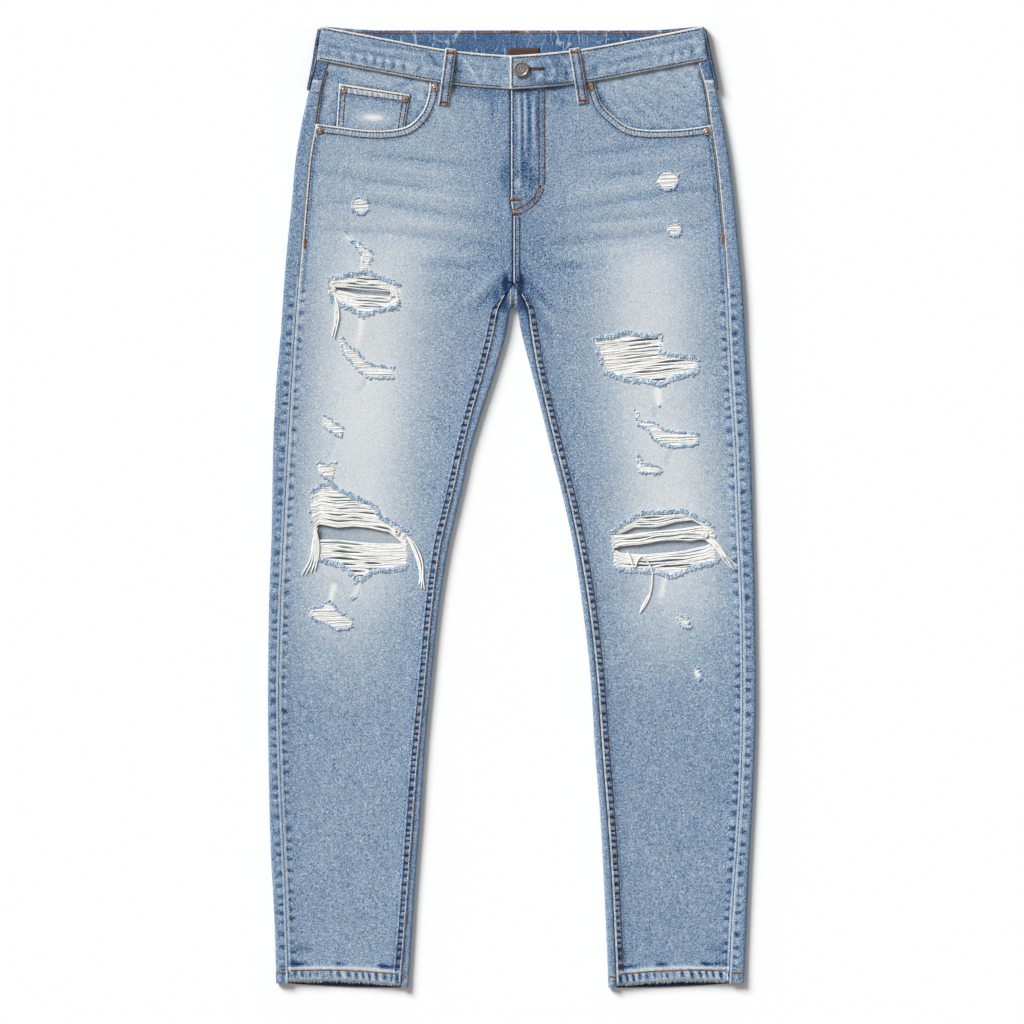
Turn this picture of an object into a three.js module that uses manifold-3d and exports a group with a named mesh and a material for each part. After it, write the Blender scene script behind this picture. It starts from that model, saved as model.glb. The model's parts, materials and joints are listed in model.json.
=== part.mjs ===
// Ripped slim jeans laid flat on a table with the front up, in millimetres.
// X runs across to the wearer's left, Y runs up to the waist and Z away from the table.
// The origin is on the table, under the middle of the garment.
// Each panel that a maker cuts is a wall of cloth of its own. The back panels come round the
// side folds, so both side seams and both inside-leg seams lie on the upper face.

import * as THREE from 'three';
import { mergeVertices } from 'three/addons/utils/BufferGeometryUtils.js';
import Module from 'manifold-3d';

const wasm = await Module();
wasm.setup();

// Thickness of the cloth and the gaps between sewn pieces
const DENIM = 1.2;
const POCKET_CLOTH = 1.0;
const BAND_CLOTH = 2.2;
const HEM_CLOTH = 2.1;
const LOOP_CLOTH = 1.2;
const SEAM_GAP = 0.3;
const HALF_GAP = SEAM_GAP / 2;

// Heights from top to bottom of the garment
const WAIST_TOP = 519;
const BAND_HEIGHT = 36.5;
const YOKE_SIDE_Y = 432;
const YOKE_CENTRE_Y = 406;
const HIP_ROW_Y = 375;
const JUNCTION_Y = 240;
const CROTCH_Y = 218;
const HEM_TOP = -504.5;
const HEM_BOTTOM = -519;
const HEM_RISE = 4.5;

// The centre seams lie a little to the wearer's left of the middle, and the fly edge to the right
const CENTRE_X = 1.6;
const FLY_X = -1.1;
const FLY_END_Y = 331;
const CENTRE_SEAM_Y = 312;
const FLY_WIDTH = 45;
const FLY_RISE = 0.6;

// The seat lies on the back pockets and the legs lie on the table
const SEAT_LIFT = 1.5;
const SEAT_LIFT_TOP_Y = 215;
const SEAT_LIFT_END_Y = 182;
const FOLD_SWELL = 18;

// Waistband: back and front plies, and the lapped end with the buttonhole on top
const BAND_TOP_Z = 8.9;
const LAP_TOP_Z = BAND_TOP_Z + SEAM_GAP + BAND_CLOTH;
const LAP_END_X = -2.4;
const UNDER_END_X = 36;
const LAP_FLAT_X = 42;
const LAP_RISE_X = 75;

const RIGHT = { name: 'right', sign: -1 };
const LEFT = { name: 'left', sign: 1 };
const SIDES = [RIGHT, LEFT];

// Reads a table by column name, on a smooth curve without overshoot through its rows.
// The first column is the one that the others are read against, and it rises or falls steadily.
function smoothTable(columns, rows) {
  const falling = rows[0][0] > rows[rows.length - 1][0];
  const sorted = falling ? [...rows].reverse() : rows;
  const at = sorted.map((row) => row[0]);
  const step = (column, i) => (sorted[i + 1][column] - sorted[i][column]) / (at[i + 1] - at[i]);
  function slope(column, i) {
    if (i === 0) return step(column, 0);
    if (i === sorted.length - 1) return step(column, i - 1);
    const before = step(column, i - 1);
    const after = step(column, i);
    return before * after <= 0 ? 0 : (2 * before * after) / (before + after);
  }
  return (name, position) => {
    const column = columns.indexOf(name);
    const place = Math.min(Math.max(position, at[0]), at[at.length - 1]);
    let i = 0;
    while (i < at.length - 2 && place > at[i + 1]) i += 1;
    const span = at[i + 1] - at[i];
    const t = (place - at[i]) / span;
    const bend = t * t * (3 - 2 * t);
    const start = t * (1 - t) * (1 - t) * span * slope(column, i);
    const end = t * t * (1 - t) * span * slope(column, i + 1);
    return sorted[i][column] * (1 - bend) + sorted[i + 1][column] * bend + start - end;
  };
}

// Outer edge of the garment and the side seam, for the wearer's right and left
const sideLine = smoothTable(
  ['y', 'rightEdge', 'rightSeam', 'leftSeam', 'leftEdge'],
  [
    [482, -211.8, -198, 200.5, 214.5],
    [448, -219.5, -207, 210, 221],
    [413.5, -227, -212, 215, 228],
    [375, -233.5, -218.5, 221, 234.5],
    [331.5, -237.5, -222.5, 225.5, 240],
    [288.5, -242, -226, 229.5, 244],
    [242, -246, -230, 232.5, 248.5],
    [191, -249.5, -234, 234.5, 251.5],
    [126.5, -255, -238, 238, 255],
    [61.5, -258, -241.5, 242, 258],
    [-25, -259.5, -246, 245, 260.5],
    [-111, -262.5, -249.5, 248.5, 262.5],
    [-208.5, -263.5, -251.5, 249.5, 263.5],
    [-295, -262.5, -249.5, 247.5, 261],
    [-370.5, -260.5, -246, 243, 257],
    [-446, -256.5, -243, 237.5, 253.5],
    [-519, -254.5, -241, 234.5, 250.5],
  ],
);

// Inner edge of each leg and the inside-leg seam
const inLine = smoothTable(
  ['y', 'rightSeam', 'rightEdge', 'leftEdge', 'leftSeam'],
  [
    [240, 0.2, 1.45, 1.75, 3],
    [218, -12, 1.45, 1.75, 15],
    [213, -14, -2, 5.5, 16.5],
    [191, -18.5, -5.5, 9.5, 20],
    [148, -29, -17.5, 20.5, 27.5],
    [105, -41.5, -31.5, 31.5, 37.5],
    [61.5, -52.5, -44.5, 42, 48],
    [18.5, -62, -54, 53, 59],
    [-46.5, -77, -69, 67, 73],
    [-111, -85.5, -79, 76.5, 83.5],
    [-187, -92.5, -87, 85, 92],
    [-262.5, -100, -94, 89.5, 97.5],
    [-338, -106, -99, 95.5, 103.5],
    [-413.5, -111.5, -105, 99.5, 108.5],
    [-478.5, -116.5, -109, 102.5, 111.5],
    [-519, -120, -112, 104, 113],
  ],
);

// Height of the upper face over the table, in the middle of a leg and at its folds
const upperFace = smoothTable(
  ['y', 'middle', 'fold'],
  [
    [482, 7.2, 7.6],
    [375, 7.2, 7.6],
    [215, 6.4, 7.3],
    [150, 4.7, 6.2],
    [-470, 4.7, 6.2],
    [-519, 6.1, 6.4],
  ],
);

// Upper edge of the front waistband and of the back one, on either side of the middle
const bandEdge = smoothTable(
  ['x', 'front', 'back'],
  [
    [0, 487, 514.5],
    [35, 489.5, 514.5],
    [72, 493.7, 514.5],
    [140, 506, 514.5],
    [207.5, WAIST_TOP, WAIST_TOP],
  ],
);
const BAND_CORNER_X = 207.5;
// The lower edge of the band is this much wider than its upper edge
const BAND_SPREAD = 1.022;

const mix = (a, b, t) => a + (b - a) * t;
const bandBottomFront = (x) => bandEdge('front', Math.abs(x) / BAND_SPREAD) - BAND_HEIGHT;
const bandBottomBack = (x) => bandEdge('back', Math.abs(x) / BAND_SPREAD) - BAND_HEIGHT;

function smoothstep(from, to, value) {
  const t = THREE.MathUtils.clamp((value - from) / (to - from), 0, 1);
  return t * t * (3 - 2 * t);
}

const outerEdge = (side, y) => sideLine(`${side.name}Edge`, y);
const sideSeam = (side, y) => sideLine(`${side.name}Seam`, y);
const innerEdge = (side, y) => inLine(`${side.name}Edge`, y);
const insideSeam = (side, y) => inLine(`${side.name}Seam`, y);
const underside = (y) => SEAT_LIFT * smoothstep(SEAT_LIFT_END_Y, SEAT_LIFT_TOP_Y, y);
const foldRadius = (y) => (upperFace('fold', y) - underside(y)) / 2;
const centreFront = (y) => mix(CENTRE_X, FLY_X, smoothstep(CENTRE_SEAM_Y, FLY_END_Y, y));

// Distance from the inner fold of a leg, or from the crotch above it
function innerDistance(side, x, y) {
  if (y < CROTCH_Y) return Math.abs(x - innerEdge(side, y));
  return Math.hypot(x - CENTRE_X, y - CROTCH_Y);
}

// Soft waves across the hips and the knees, none near a fold
function softWave(x, y) {
  const hips = smoothstep(385, 330, y) * smoothstep(200, 260, y);
  const knees = smoothstep(110, 60, y) * smoothstep(-190, -120, y);
  const tilt = y - 0.22 * Math.abs(x);
  return 0.35 * hips * Math.sin(tilt / 15) + 0.3 * knees * Math.sin(tilt / 19);
}

// Height of the outside of the upper cloth
function upperHeight(side, x, y) {
  const middle = upperFace('middle', y);
  const fold = upperFace('fold', y);
  const radius = foldRadius(y);
  const swell = (distance) => Math.exp(-((Math.max(distance - radius, 0) / FOLD_SWELL) ** 2));
  const outer = swell(Math.abs(x - outerEdge(side, y)));
  const inner = swell(innerDistance(side, x, y));
  const nearFold = Math.min(1, outer + inner);
  const fromFly = side.sign * (x - centreFront(y));
  const fly = side === LEFT ? smoothstep(FLY_WIDTH, FLY_WIDTH - 14, fromFly) : 0;
  const flyRise = FLY_RISE * fly * smoothstep(CENTRE_SEAM_Y, FLY_END_Y + 12, y);
  return mix(middle, fold, nearFold) + flyRise + softWave(x, y) * (1 - nearFold);
}

const material = (color, roughness = 0.9, metalness = 0) =>
  new THREE.MeshStandardMaterial({ color, roughness, metalness });

const jeans = new THREE.Group();

function addPiece(name, geometry, finish) {
  const piece = new THREE.Mesh(geometry, finish);
  piece.name = name;
  jeans.add(piece);
  return piece;
}

// A closed geometry from points and triangles
function closedGeometry(points, triangles) {
  const geometry = new THREE.BufferGeometry();
  geometry.setAttribute(
    'position',
    new THREE.Float32BufferAttribute(points.flatMap((p) => [p.x, p.y, p.z]), 3),
  );
  geometry.setIndex(triangles);
  geometry.computeVertexNormals();
  return geometry;
}

// A wall of cloth from a grid of points on its outside. The inside lies one thickness behind
// it, and a rim closes it round every open edge. flip turns a grid that runs the other way.
function clothWall({ rows, columns, outside, thickness, isOpen = () => false, flip = false }) {
  const place = [];
  for (let r = 0; r < rows; r += 1) {
    place.push([]);
    for (let c = 0; c < columns; c += 1) place[r].push(outside(r, c));
  }
  const hasCell = (r, c) => r >= 0 && c >= 0 && r < rows - 1 && c < columns - 1 && !isOpen(r, c);
  const isUsed = (r, c) =>
    hasCell(r, c) || hasCell(r - 1, c) || hasCell(r, c - 1) || hasCell(r - 1, c - 1);
  const pick = (r, c, r0, c0) => (isUsed(r, c) ? place[r][c] : place[r0][c0]);

  function normalAt(r, c) {
    const across = pick(r, c + 1, r, c).clone().sub(pick(r, c - 1, r, c));
    const down = pick(r + 1, c, r, c).clone().sub(pick(r - 1, c, r, c));
    return across.cross(down).normalize().multiplyScalar(flip ? -1 : 1);
  }

  const points = [];
  const index = new Map();
  for (let r = 0; r < rows; r += 1) {
    for (let c = 0; c < columns; c += 1) {
      if (!isUsed(r, c)) continue;
      const outer = place[r][c];
      const behind = normalAt(r, c).multiplyScalar(-thickness(r, c));
      index.set(r * columns + c, points.length);
      points.push(outer, outer.clone().add(behind));
    }
  }

  const triangles = [];
  const addTriangle = (a, b, c) => triangles.push(...(flip ? [a, c, b] : [a, b, c]));
  function addQuad(a, b, c, d) {
    addTriangle(a, b, c);
    addTriangle(a, c, d);
  }
  const outerIndex = ([r, c]) => index.get(r * columns + c);
  for (let r = 0; r < rows - 1; r += 1) {
    for (let c = 0; c < columns - 1; c += 1) {
      if (!hasCell(r, c)) continue;
      const corners = [[r, c], [r, c + 1], [r + 1, c + 1], [r + 1, c]];
      const [p, q, s, t] = corners.map(outerIndex);
      addQuad(p, q, s, t);
      addQuad(t + 1, s + 1, q + 1, p + 1);
      const neighbours = [[r - 1, c], [r, c + 1], [r + 1, c], [r, c - 1]];
      neighbours.forEach(([nr, nc], edge) => {
        if (hasCell(nr, nc)) return;
        const from = outerIndex(corners[edge]);
        const to = outerIndex(corners[(edge + 1) % 4]);
        addQuad(to, from, from + 1, to + 1);
      });
    }
  }
  return closedGeometry(points, triangles);
}

// Solids that are joined or cut
function toSolid(geometry) {
  const bare = geometry.clone();
  bare.deleteAttribute('normal');
  bare.deleteAttribute('uv');
  const merged = mergeVertices(bare, 1e-3);
  return new wasm.Manifold(
    new wasm.Mesh({
      numProp: 3,
      vertProperties: merged.attributes.position.array,
      triVerts: new Uint32Array(merged.index.array),
    }),
  );
}

function fromSolid(solid) {
  const mesh = solid.getMesh();
  const geometry = new THREE.BufferGeometry();
  geometry.setAttribute('position', new THREE.BufferAttribute(mesh.vertProperties, 3));
  geometry.setIndex(new THREE.BufferAttribute(mesh.triVerts, 1));
  geometry.computeVertexNormals();
  return geometry;
}

// An upright block over an outline of [x, y] points
function block(outline, bottom, top) {
  const shape = new THREE.Shape(outline.map(([x, y]) => new THREE.Vector2(x, y)));
  const geometry = new THREE.ExtrudeGeometry(shape, { depth: top - bottom, bevelEnabled: false });
  return geometry.translate(0, 0, bottom);
}

// An outline moved inwards by a small distance
function insetOutline(outline, distance) {
  const corners = outline.map(([x, y]) => new THREE.Vector2(x, y));
  const isClockwise = THREE.ShapeUtils.isClockWise(corners);
  const turn = isClockwise ? -1 : 1;
  return outline.map(([x, y], i) => {
    const [ax, ay] = outline[(i + outline.length - 1) % outline.length];
    const [bx, by] = outline[(i + 1) % outline.length];
    const before = new THREE.Vector2(y - ay, ax - x).normalize();
    const after = new THREE.Vector2(by - y, x - bx).normalize();
    const corner = before.add(after).normalize();
    const reach = distance / Math.max(0.5, corner.dot(after));
    return [x - turn * corner.x * reach, y - turn * corner.y * reach];
  });
}

// Rows of the grid from the hips down to the hem, the same for all four leg panels
const LEG_ROWS = [
  HIP_ROW_Y, 331, 300, 268, JUNCTION_Y, 229, 221, CROTCH_Y, 216, 213, 191, 170, 148, 126, 105,
  61.5, 18.5, -14, -46.5, -79, -111, -160, -208.5, -262.5, -317, -370.5, -413.5, -446, -478.5,
  HEM_TOP + 0.6, HEM_TOP - 0.2, HEM_BOTTOM,
];
// Rows above the hips, as parts of the way from a panel's upper seam down to the hips
const TOP_ROWS = [0, 0.225, 0.452, 0.73];

// How far a hem is raised at a place between the inside-leg and the side of its leg
function hemLift(side, x, y) {
  const inner = innerEdge(side, HEM_BOTTOM);
  const t = (x - inner) / (outerEdge(side, HEM_BOTTOM) - inner);
  return HEM_RISE * THREE.MathUtils.clamp(t, 0, 1) ** 2 * smoothstep(-446, HEM_BOTTOM, y);
}

const hemThickness = (y) => (y <= HEM_TOP ? HEM_CLOTH : DENIM);

// Columns of a back panel: along the strip on the upper face, round the side fold, across
// the underside, round the inner fold and along the strip up to the inside-leg seam
const FOLD_ANGLES = [0, 36, 72, 108, 144, 180].map(THREE.MathUtils.degToRad);
const isOverFold = (angle) => Math.cos(angle) > 0;
const ACROSS = [1 / 6, 2 / 6, 3 / 6, 4 / 6, 5 / 6, 1];
const BACK_COLUMNS = [
  ...[0, 0.5].map((t) => ({ part: 'outerStrip', t })),
  ...FOLD_ANGLES.map((angle) => ({ part: 'outerFold', angle })),
  ...ACROSS.map((t) => ({ part: 'under', t })),
  ...FOLD_ANGLES.slice(0, -1).reverse().map((angle) => ({ part: 'innerFold', angle })),
  ...[0.5, 1].map((t) => ({ part: 'innerStrip', t })),
];
const UNDER_END = BACK_COLUMNS.findIndex((column) => column.part === 'under' && column.t === 1);
const INNER_STRIP_START = BACK_COLUMNS.findIndex((column) => column.part === 'innerStrip') - 1;

// A point of a back piece's outside at a height, as a vector
function backPoint(side, column, y) {
  const { sign } = side;
  const radius = foldRadius(y);
  const floor = underside(y);
  const outerX = outerEdge(side, y) - sign * radius;
  const isLeg = y <= CROTCH_Y;
  const innerX = isLeg ? innerEdge(side, y) + sign * radius : CENTRE_X + sign * HALF_GAP;
  const roundFold = (x, away, angle) =>
    new THREE.Vector3(
      x + away * radius * Math.sin(angle),
      y,
      floor + radius + radius * Math.cos(angle),
    );
  const onTop = (x) => new THREE.Vector3(x, y, upperHeight(side, x, y));
  if (column.part === 'outerStrip') return onTop(mix(sideSeam(side, y), outerX, column.t));
  if (column.part === 'outerFold') return roundFold(outerX, sign, column.angle);
  if (column.part === 'under') return new THREE.Vector3(mix(outerX, innerX, column.t), y, floor);
  if (column.part === 'innerStrip') return onTop(mix(innerX, insideSeam(side, y), column.t));
  return isLeg ? roundFold(innerX, -sign, column.angle) : onTop(innerX);
}

// Height of the seam between yoke and back panel, lowest at the centre back
function yokeSeamY(side, column) {
  if (column.part !== 'under') return YOKE_SIDE_Y;
  return mix(YOKE_SIDE_Y, YOKE_CENTRE_Y, column.t);
}

function backPanel(side) {
  const rows = TOP_ROWS.length - 2 + LEG_ROWS.length;
  const seamRow = (r) => r < 2;
  const rowY = (r, column) =>
    seamRow(r)
      ? mix(yokeSeamY(side, column) - HALF_GAP, HIP_ROW_Y, r / 2)
      : LEG_ROWS[r - 2];
  const outside = (r, c) => {
    const column = BACK_COLUMNS[c];
    const y = rowY(r, column);
    const point = backPoint(side, column, y);
    point.y += hemLift(side, point.x, y);
    return point;
  };
  const isOpen = (r, c) => {
    const y = rowY(r, BACK_COLUMNS[c]);
    if (c >= INNER_STRIP_START) return y > JUNCTION_Y;
    return c >= UNDER_END && y > CROTCH_Y;
  };
  return clothWall({
    rows,
    columns: BACK_COLUMNS.length,
    outside,
    thickness: (r, c) => hemThickness(rowY(r, BACK_COLUMNS[c])),
    isOpen,
    flip: side === LEFT,
  });
}

function yoke(side) {
  const columns = BACK_COLUMNS.slice(0, UNDER_END + 1);
  const shares = [0, 0.5, 1];
  const outside = (r, c) => {
    const column = columns[c];
    const { x } = backPoint(side, column, bandBottomFront(BAND_CORNER_X));
    const isOver = column.part === 'outerStrip' || isOverFold(column.angle);
    const top = isOver ? bandBottomFront(x) : bandBottomBack(x);
    const y = mix(top - SEAM_GAP, yokeSeamY(side, column) + HALF_GAP, shares[r]);
    return backPoint(side, column, y);
  };
  return clothWall({
    rows: shares.length,
    columns: columns.length,
    outside,
    thickness: () => DENIM,
    flip: side === LEFT,
  });
}

// Front panels: from the side seam to the centre front, and below the crotch to the inside leg
const FRONT_SHARES = [0, 0.07, 0.2, 0.4, 0.6, 0.8, 0.93, 1];

function frontEnds(side, y) {
  const outer = sideSeam(side, y) - side.sign * SEAM_GAP;
  const inner =
    y > JUNCTION_Y
      ? centreFront(y) + side.sign * HALF_GAP
      : insideSeam(side, y) + side.sign * SEAM_GAP;
  return { outer, inner };
}

// A row's height at a place across the front, slanted like the waistband above the hips
function frontRowY(side, r, share) {
  if (r >= TOP_ROWS.length) return LEG_ROWS[r - TOP_ROWS.length];
  const { outer, inner } = frontEnds(side, bandBottomFront(BAND_CORNER_X));
  const top = bandBottomFront(mix(outer, inner, share)) - SEAM_GAP;
  return mix(top, HIP_ROW_Y, TOP_ROWS[r]);
}

function frontPoint(side, r, share) {
  const y = frontRowY(side, r, share);
  const { outer, inner } = frontEnds(side, y);
  const x = mix(outer, inner, share);
  const lift = hemLift(side, x, y) + 2.6 * smoothstep(-446, HEM_BOTTOM, y);
  return new THREE.Vector3(x, y + lift, upperHeight(side, x, y));
}

// Mouth of a front pocket: its edge as [x, y] on the wearer's right or left, from the
// waistband down and out to the side seam
const POCKET_MOUTH = {
  right: [[-88.5, 472], [-89, 456], [-91, 442], [-98, 425], [-113.5, 411], [-137, 406.5],
    [-161, 407], [-188, 410.5], [-232, 416]],
  left: [[88, 473], [89.5, 459], [93, 445], [100, 431], [122, 412.5], [141, 407.5],
    [164, 407], [190, 408.5], [234, 415]],
};

function mouthOutline(side) {
  const edge = POCKET_MOUTH[side.name].map(([x, y]) => new THREE.Vector2(x, y));
  const curve = new THREE.SplineCurve(edge).getPoints(20).map((p) => [p.x, p.y]);
  const [topX] = curve[0];
  const [outX] = curve[curve.length - 1];
  return [...curve, [outX, WAIST_TOP], [topX, WAIST_TOP]];
}

// The rips that go right through, as outlines of [x, y] points. open is where no thread
// crosses, as [from, to] heights, and pitch is the spacing of the threads.
const RIPS = [
  {
    name: 'right_thigh', side: RIGHT, pitch: 3.6, open: [[236, 228]],
    outline: [[-196, 245], [-178, 248], [-158, 252], [-142, 246], [-124, 238], [-124, 224],
      [-126, 217], [-150, 213], [-162, 209], [-176, 217], [-191, 222], [-197, 232]],
  },
  {
    name: 'right_knee', side: RIGHT, pitch: 3.8, open: [[-22, -38]],
    outline: [[-200, 24], [-216, 14], [-217, -1], [-213, -18], [-210.5, -36], [-210.5, -54],
      [-183, -61.5], [-165, -77], [-150, -68], [-115.5, -63.5], [-115, -40], [-114, -29],
      [-143, -12], [-154, 3], [-171, 9]],
  },
  {
    name: 'left_thigh', side: LEFT, pitch: 3.7, open: [],
    outline: [[91, 180], [106, 182.5], [124, 188], [140, 184.5], [159, 182], [157, 162],
      [197, 160], [201, 149], [170, 139], [159.5, 131], [141, 137.5], [101, 147], [98, 158]],
  },
  {
    name: 'left_knee', side: LEFT, pitch: 3.8, open: [[-21, -26], [-38, -50]],
    outline: [[108, -29], [120, -20], [142, -7.5], [181, -6], [204, -15], [214.5, -22],
      [218, -42], [218.5, -58], [186, -67], [170, -74], [160, -68], [124, -67], [111, -62],
      [109.5, -46]],
  },
];
const CUT_FLOOR = 2.0;
const CUT_ROOF = 12;

function frontPanel(side) {
  const sheet = clothWall({
    rows: TOP_ROWS.length + LEG_ROWS.length,
    columns: FRONT_SHARES.length,
    outside: (r, c) => frontPoint(side, r, FRONT_SHARES[c]),
    thickness: (r, c) => hemThickness(frontRowY(side, r, FRONT_SHARES[c])),
    flip: side === RIGHT,
  });
  let panel = toSolid(sheet).subtract(toSolid(block(mouthOutline(side), CUT_FLOOR, CUT_ROOF)));
  for (const rip of RIPS.filter((one) => one.side === side)) {
    panel = panel.subtract(toSolid(block(rip.outline, CUT_FLOOR, CUT_ROOF)));
  }
  return fromSolid(panel);
}

// The cloth that shows in a pocket's mouth, under the front panel and out to the side seam
const FACING_INNER_X = 72;
const FACING_ROWS = [0, 0.225, 0.452, 0.65, 0.82];
const FACING_SHARES = [0, 0.1, 0.35, 0.7, 1];
const FACING_DROP = DENIM + SEAM_GAP;

function facingPoint(side, share, rowShare) {
  const topY = bandBottomFront(BAND_CORNER_X);
  const inner = side.sign * FACING_INNER_X;
  const edgeX = (y) => sideSeam(side, y) - side.sign * SEAM_GAP;
  const top = bandBottomFront(mix(edgeX(topY), inner, share)) - SEAM_GAP;
  const y = mix(top, HIP_ROW_Y, rowShare);
  const x = mix(edgeX(y), inner, share);
  return new THREE.Vector3(x, y, upperHeight(side, x, y) - FACING_DROP);
}

function pocketFacing(side) {
  return clothWall({
    rows: FACING_ROWS.length,
    columns: FACING_SHARES.length,
    outside: (r, c) => facingPoint(side, FACING_SHARES[c], FACING_ROWS[r]),
    thickness: () => POCKET_CLOTH,
    flip: side === RIGHT,
  });
}

// Coin pocket, on the facing of the wearer's right pocket and cut off by the pocket's mouth
const COIN_CORNERS = { topOuter: [-186.5, 457], topInner: [-110, 445], bottomInner: [-117.5, 400],
  bottomOuter: [-190, 402] };
const COIN_CLOTH = 0.9;
const COIN_RISE = SEAM_GAP + COIN_CLOTH - FACING_DROP;

function coinPocket() {
  const { topOuter, topInner, bottomInner, bottomOuter } = COIN_CORNERS;
  const shares = [0, 1 / 3, 2 / 3, 1];
  const outside = (r, c) => {
    const [x, y] = [0, 1].map((axis) => {
      const upper = mix(topOuter[axis], topInner[axis], shares[c]);
      const lower = mix(bottomOuter[axis], bottomInner[axis], shares[c]);
      return mix(upper, lower, shares[r]);
    });
    return new THREE.Vector3(x, y, upperHeight(RIGHT, x, y) + COIN_RISE);
  };
  const sheet = clothWall({ rows: 4, columns: 4, outside, thickness: () => COIN_CLOTH, flip: true });
  const mouth = block(insetOutline(mouthOutline(RIGHT), SEAM_GAP + 0.2), CUT_FLOOR, CUT_ROOF);
  return fromSolid(toSolid(sheet).intersect(toSolid(mouth)));
}

// Back pockets, patch pockets under the seat that lie on the table
const POCKET_CENTRE_X = 108;
const POCKET_TOP_Y = 392;
const POCKET_HALF = { top: 76, bottom: 62 };
const POCKET_SIDE_DROP = 134;
const POCKET_POINT_DROP = 160;
const POCKET_TILT = 0.06;

function backPocket(side) {
  const { sign } = side;
  const corners = [
    [-POCKET_HALF.top, 0],
    [POCKET_HALF.top, 0],
    [POCKET_HALF.bottom, -POCKET_SIDE_DROP],
    [0, -POCKET_POINT_DROP],
    [-POCKET_HALF.bottom, -POCKET_SIDE_DROP],
  ];
  const outline = corners.map(([x, y]) => [
    CENTRE_X + sign * POCKET_CENTRE_X + x,
    POCKET_TOP_Y + y + sign * POCKET_TILT * x,
  ]);
  return block(outline, 0, DENIM);
}

// The waistband, one strip of cloth: from the under end with the button, round the wearer's
// right, across the back, round the left and on to the lapped end with the buttonhole.
// Its stations lie where the panels that are sewn to it have their columns.
function waistband() {
  const radius = (BAND_TOP_Z - SEAT_LIFT) / 2;
  const foldX = BAND_CORNER_X - radius;
  const middleZ = SEAT_LIFT + radius;
  const stations = [];

  const frontStops = (side) => {
    const { outer, inner } = frontEnds(side, bandBottomFront(BAND_CORNER_X));
    return FRONT_SHARES.map((share) => mix(outer, inner, share) / BAND_SPREAD);
  };
  const addFront = (x, z) => stations.push({ x, z, edge: 'front' });
  const addFold = (sign, angle) =>
    stations.push({
      x: sign * (foldX + radius * Math.sin(angle)),
      z: middleZ + radius * Math.cos(angle),
      edge: isOverFold(angle) ? 'front' : 'back',
    });

  addFront(UNDER_END_X, BAND_TOP_Z);
  for (const x of frontStops(RIGHT).reverse()) addFront(x, BAND_TOP_Z);
  addFront(-foldX, BAND_TOP_Z);
  for (const angle of FOLD_ANGLES.slice(1)) addFold(-1, angle);
  const backStops = [0, ...ACROSS.slice(0, -1)].map((share) => mix(foldX, -CENTRE_X, share));
  for (const x of backStops.slice(1)) stations.push({ x: -x, z: SEAT_LIFT, edge: 'back' });
  stations.push({ x: CENTRE_X, z: SEAT_LIFT, edge: 'back' });
  for (const x of backStops.slice(1).reverse()) stations.push({ x, z: SEAT_LIFT, edge: 'back' });
  for (const angle of [...FOLD_ANGLES].reverse().slice(0, -1)) addFold(1, angle);
  addFront(foldX, BAND_TOP_Z);
  for (const x of frontStops(LEFT)) {
    addFront(x, mix(LAP_TOP_Z, BAND_TOP_Z, smoothstep(LAP_FLAT_X, LAP_RISE_X, x)));
  }
  addFront(LAP_END_X, LAP_TOP_Z);

  const shares = [0, 0.33, 0.67, 1];
  const outside = (r, c) => {
    const { x, z, edge } = stations[c];
    const y = bandEdge(edge, Math.abs(x)) - BAND_HEIGHT * shares[r];
    return new THREE.Vector3(x * mix(1, BAND_SPREAD, shares[r]), y, z);
  };
  return clothWall({
    rows: shares.length,
    columns: stations.length,
    outside,
    thickness: () => BAND_CLOTH,
  });
}

// Belt loops on the front: a strip over the waistband, sewn above and below it
const LOOP_WIDTH = 11.5;
const FRONT_LOOPS = {
  right: { top: [-65.8, 494.5], bottom: [-74, 433] },
  left: { top: [67, 495], bottom: [77, 435] },
};

function frontLoop(side) {
  const { top, bottom } = FRONT_LOOPS[side.name];
  const shares = [0, 0.1, 0.35, 0.6, 0.72, 0.86, 1];
  const bulge = [0.1, 0.6, 2, 1.7, 1.1, 0.3, 0];
  const along = new THREE.Vector2(bottom[0] - top[0], bottom[1] - top[1]).normalize();
  const outside = (r, c) => {
    const reach = (c - 0.5) * LOOP_WIDTH;
    const x = mix(top[0], bottom[0], shares[r]) + along.y * -reach;
    const y = mix(top[1], bottom[1], shares[r]) + along.x * reach;
    const panelZ = upperHeight(side, x, y);
    const overBand = smoothstep(bandBottomFront(x) - 9, bandBottomFront(x) - 1, y);
    const carrier = mix(panelZ, Math.max(panelZ, BAND_TOP_Z + 0.5), overBand);
    return new THREE.Vector3(x, y, carrier + SEAM_GAP + LOOP_CLOTH + bulge[r]);
  };
  return clothWall({
    rows: shares.length,
    columns: 2,
    outside,
    thickness: () => LOOP_CLOTH,
    flip: true,
  });
}

// Belt loops at the sides, folded round the edge of the garment
const sideLoopReach = smoothTable(
  ['y', 'right', 'left'],
  [
    [516, -209.8, 209.8],
    [498, -213.2, 213.4],
    [481, -215.8, 217],
    [461, -219.6, 221.2],
    [450, -221.8, 223],
  ],
);
const SIDE_LOOP_RADIUS = 5.4;
const SIDE_LOOP_ANGLES = [-55, -28, 0, 28, 55].map(THREE.MathUtils.degToRad);

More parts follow.
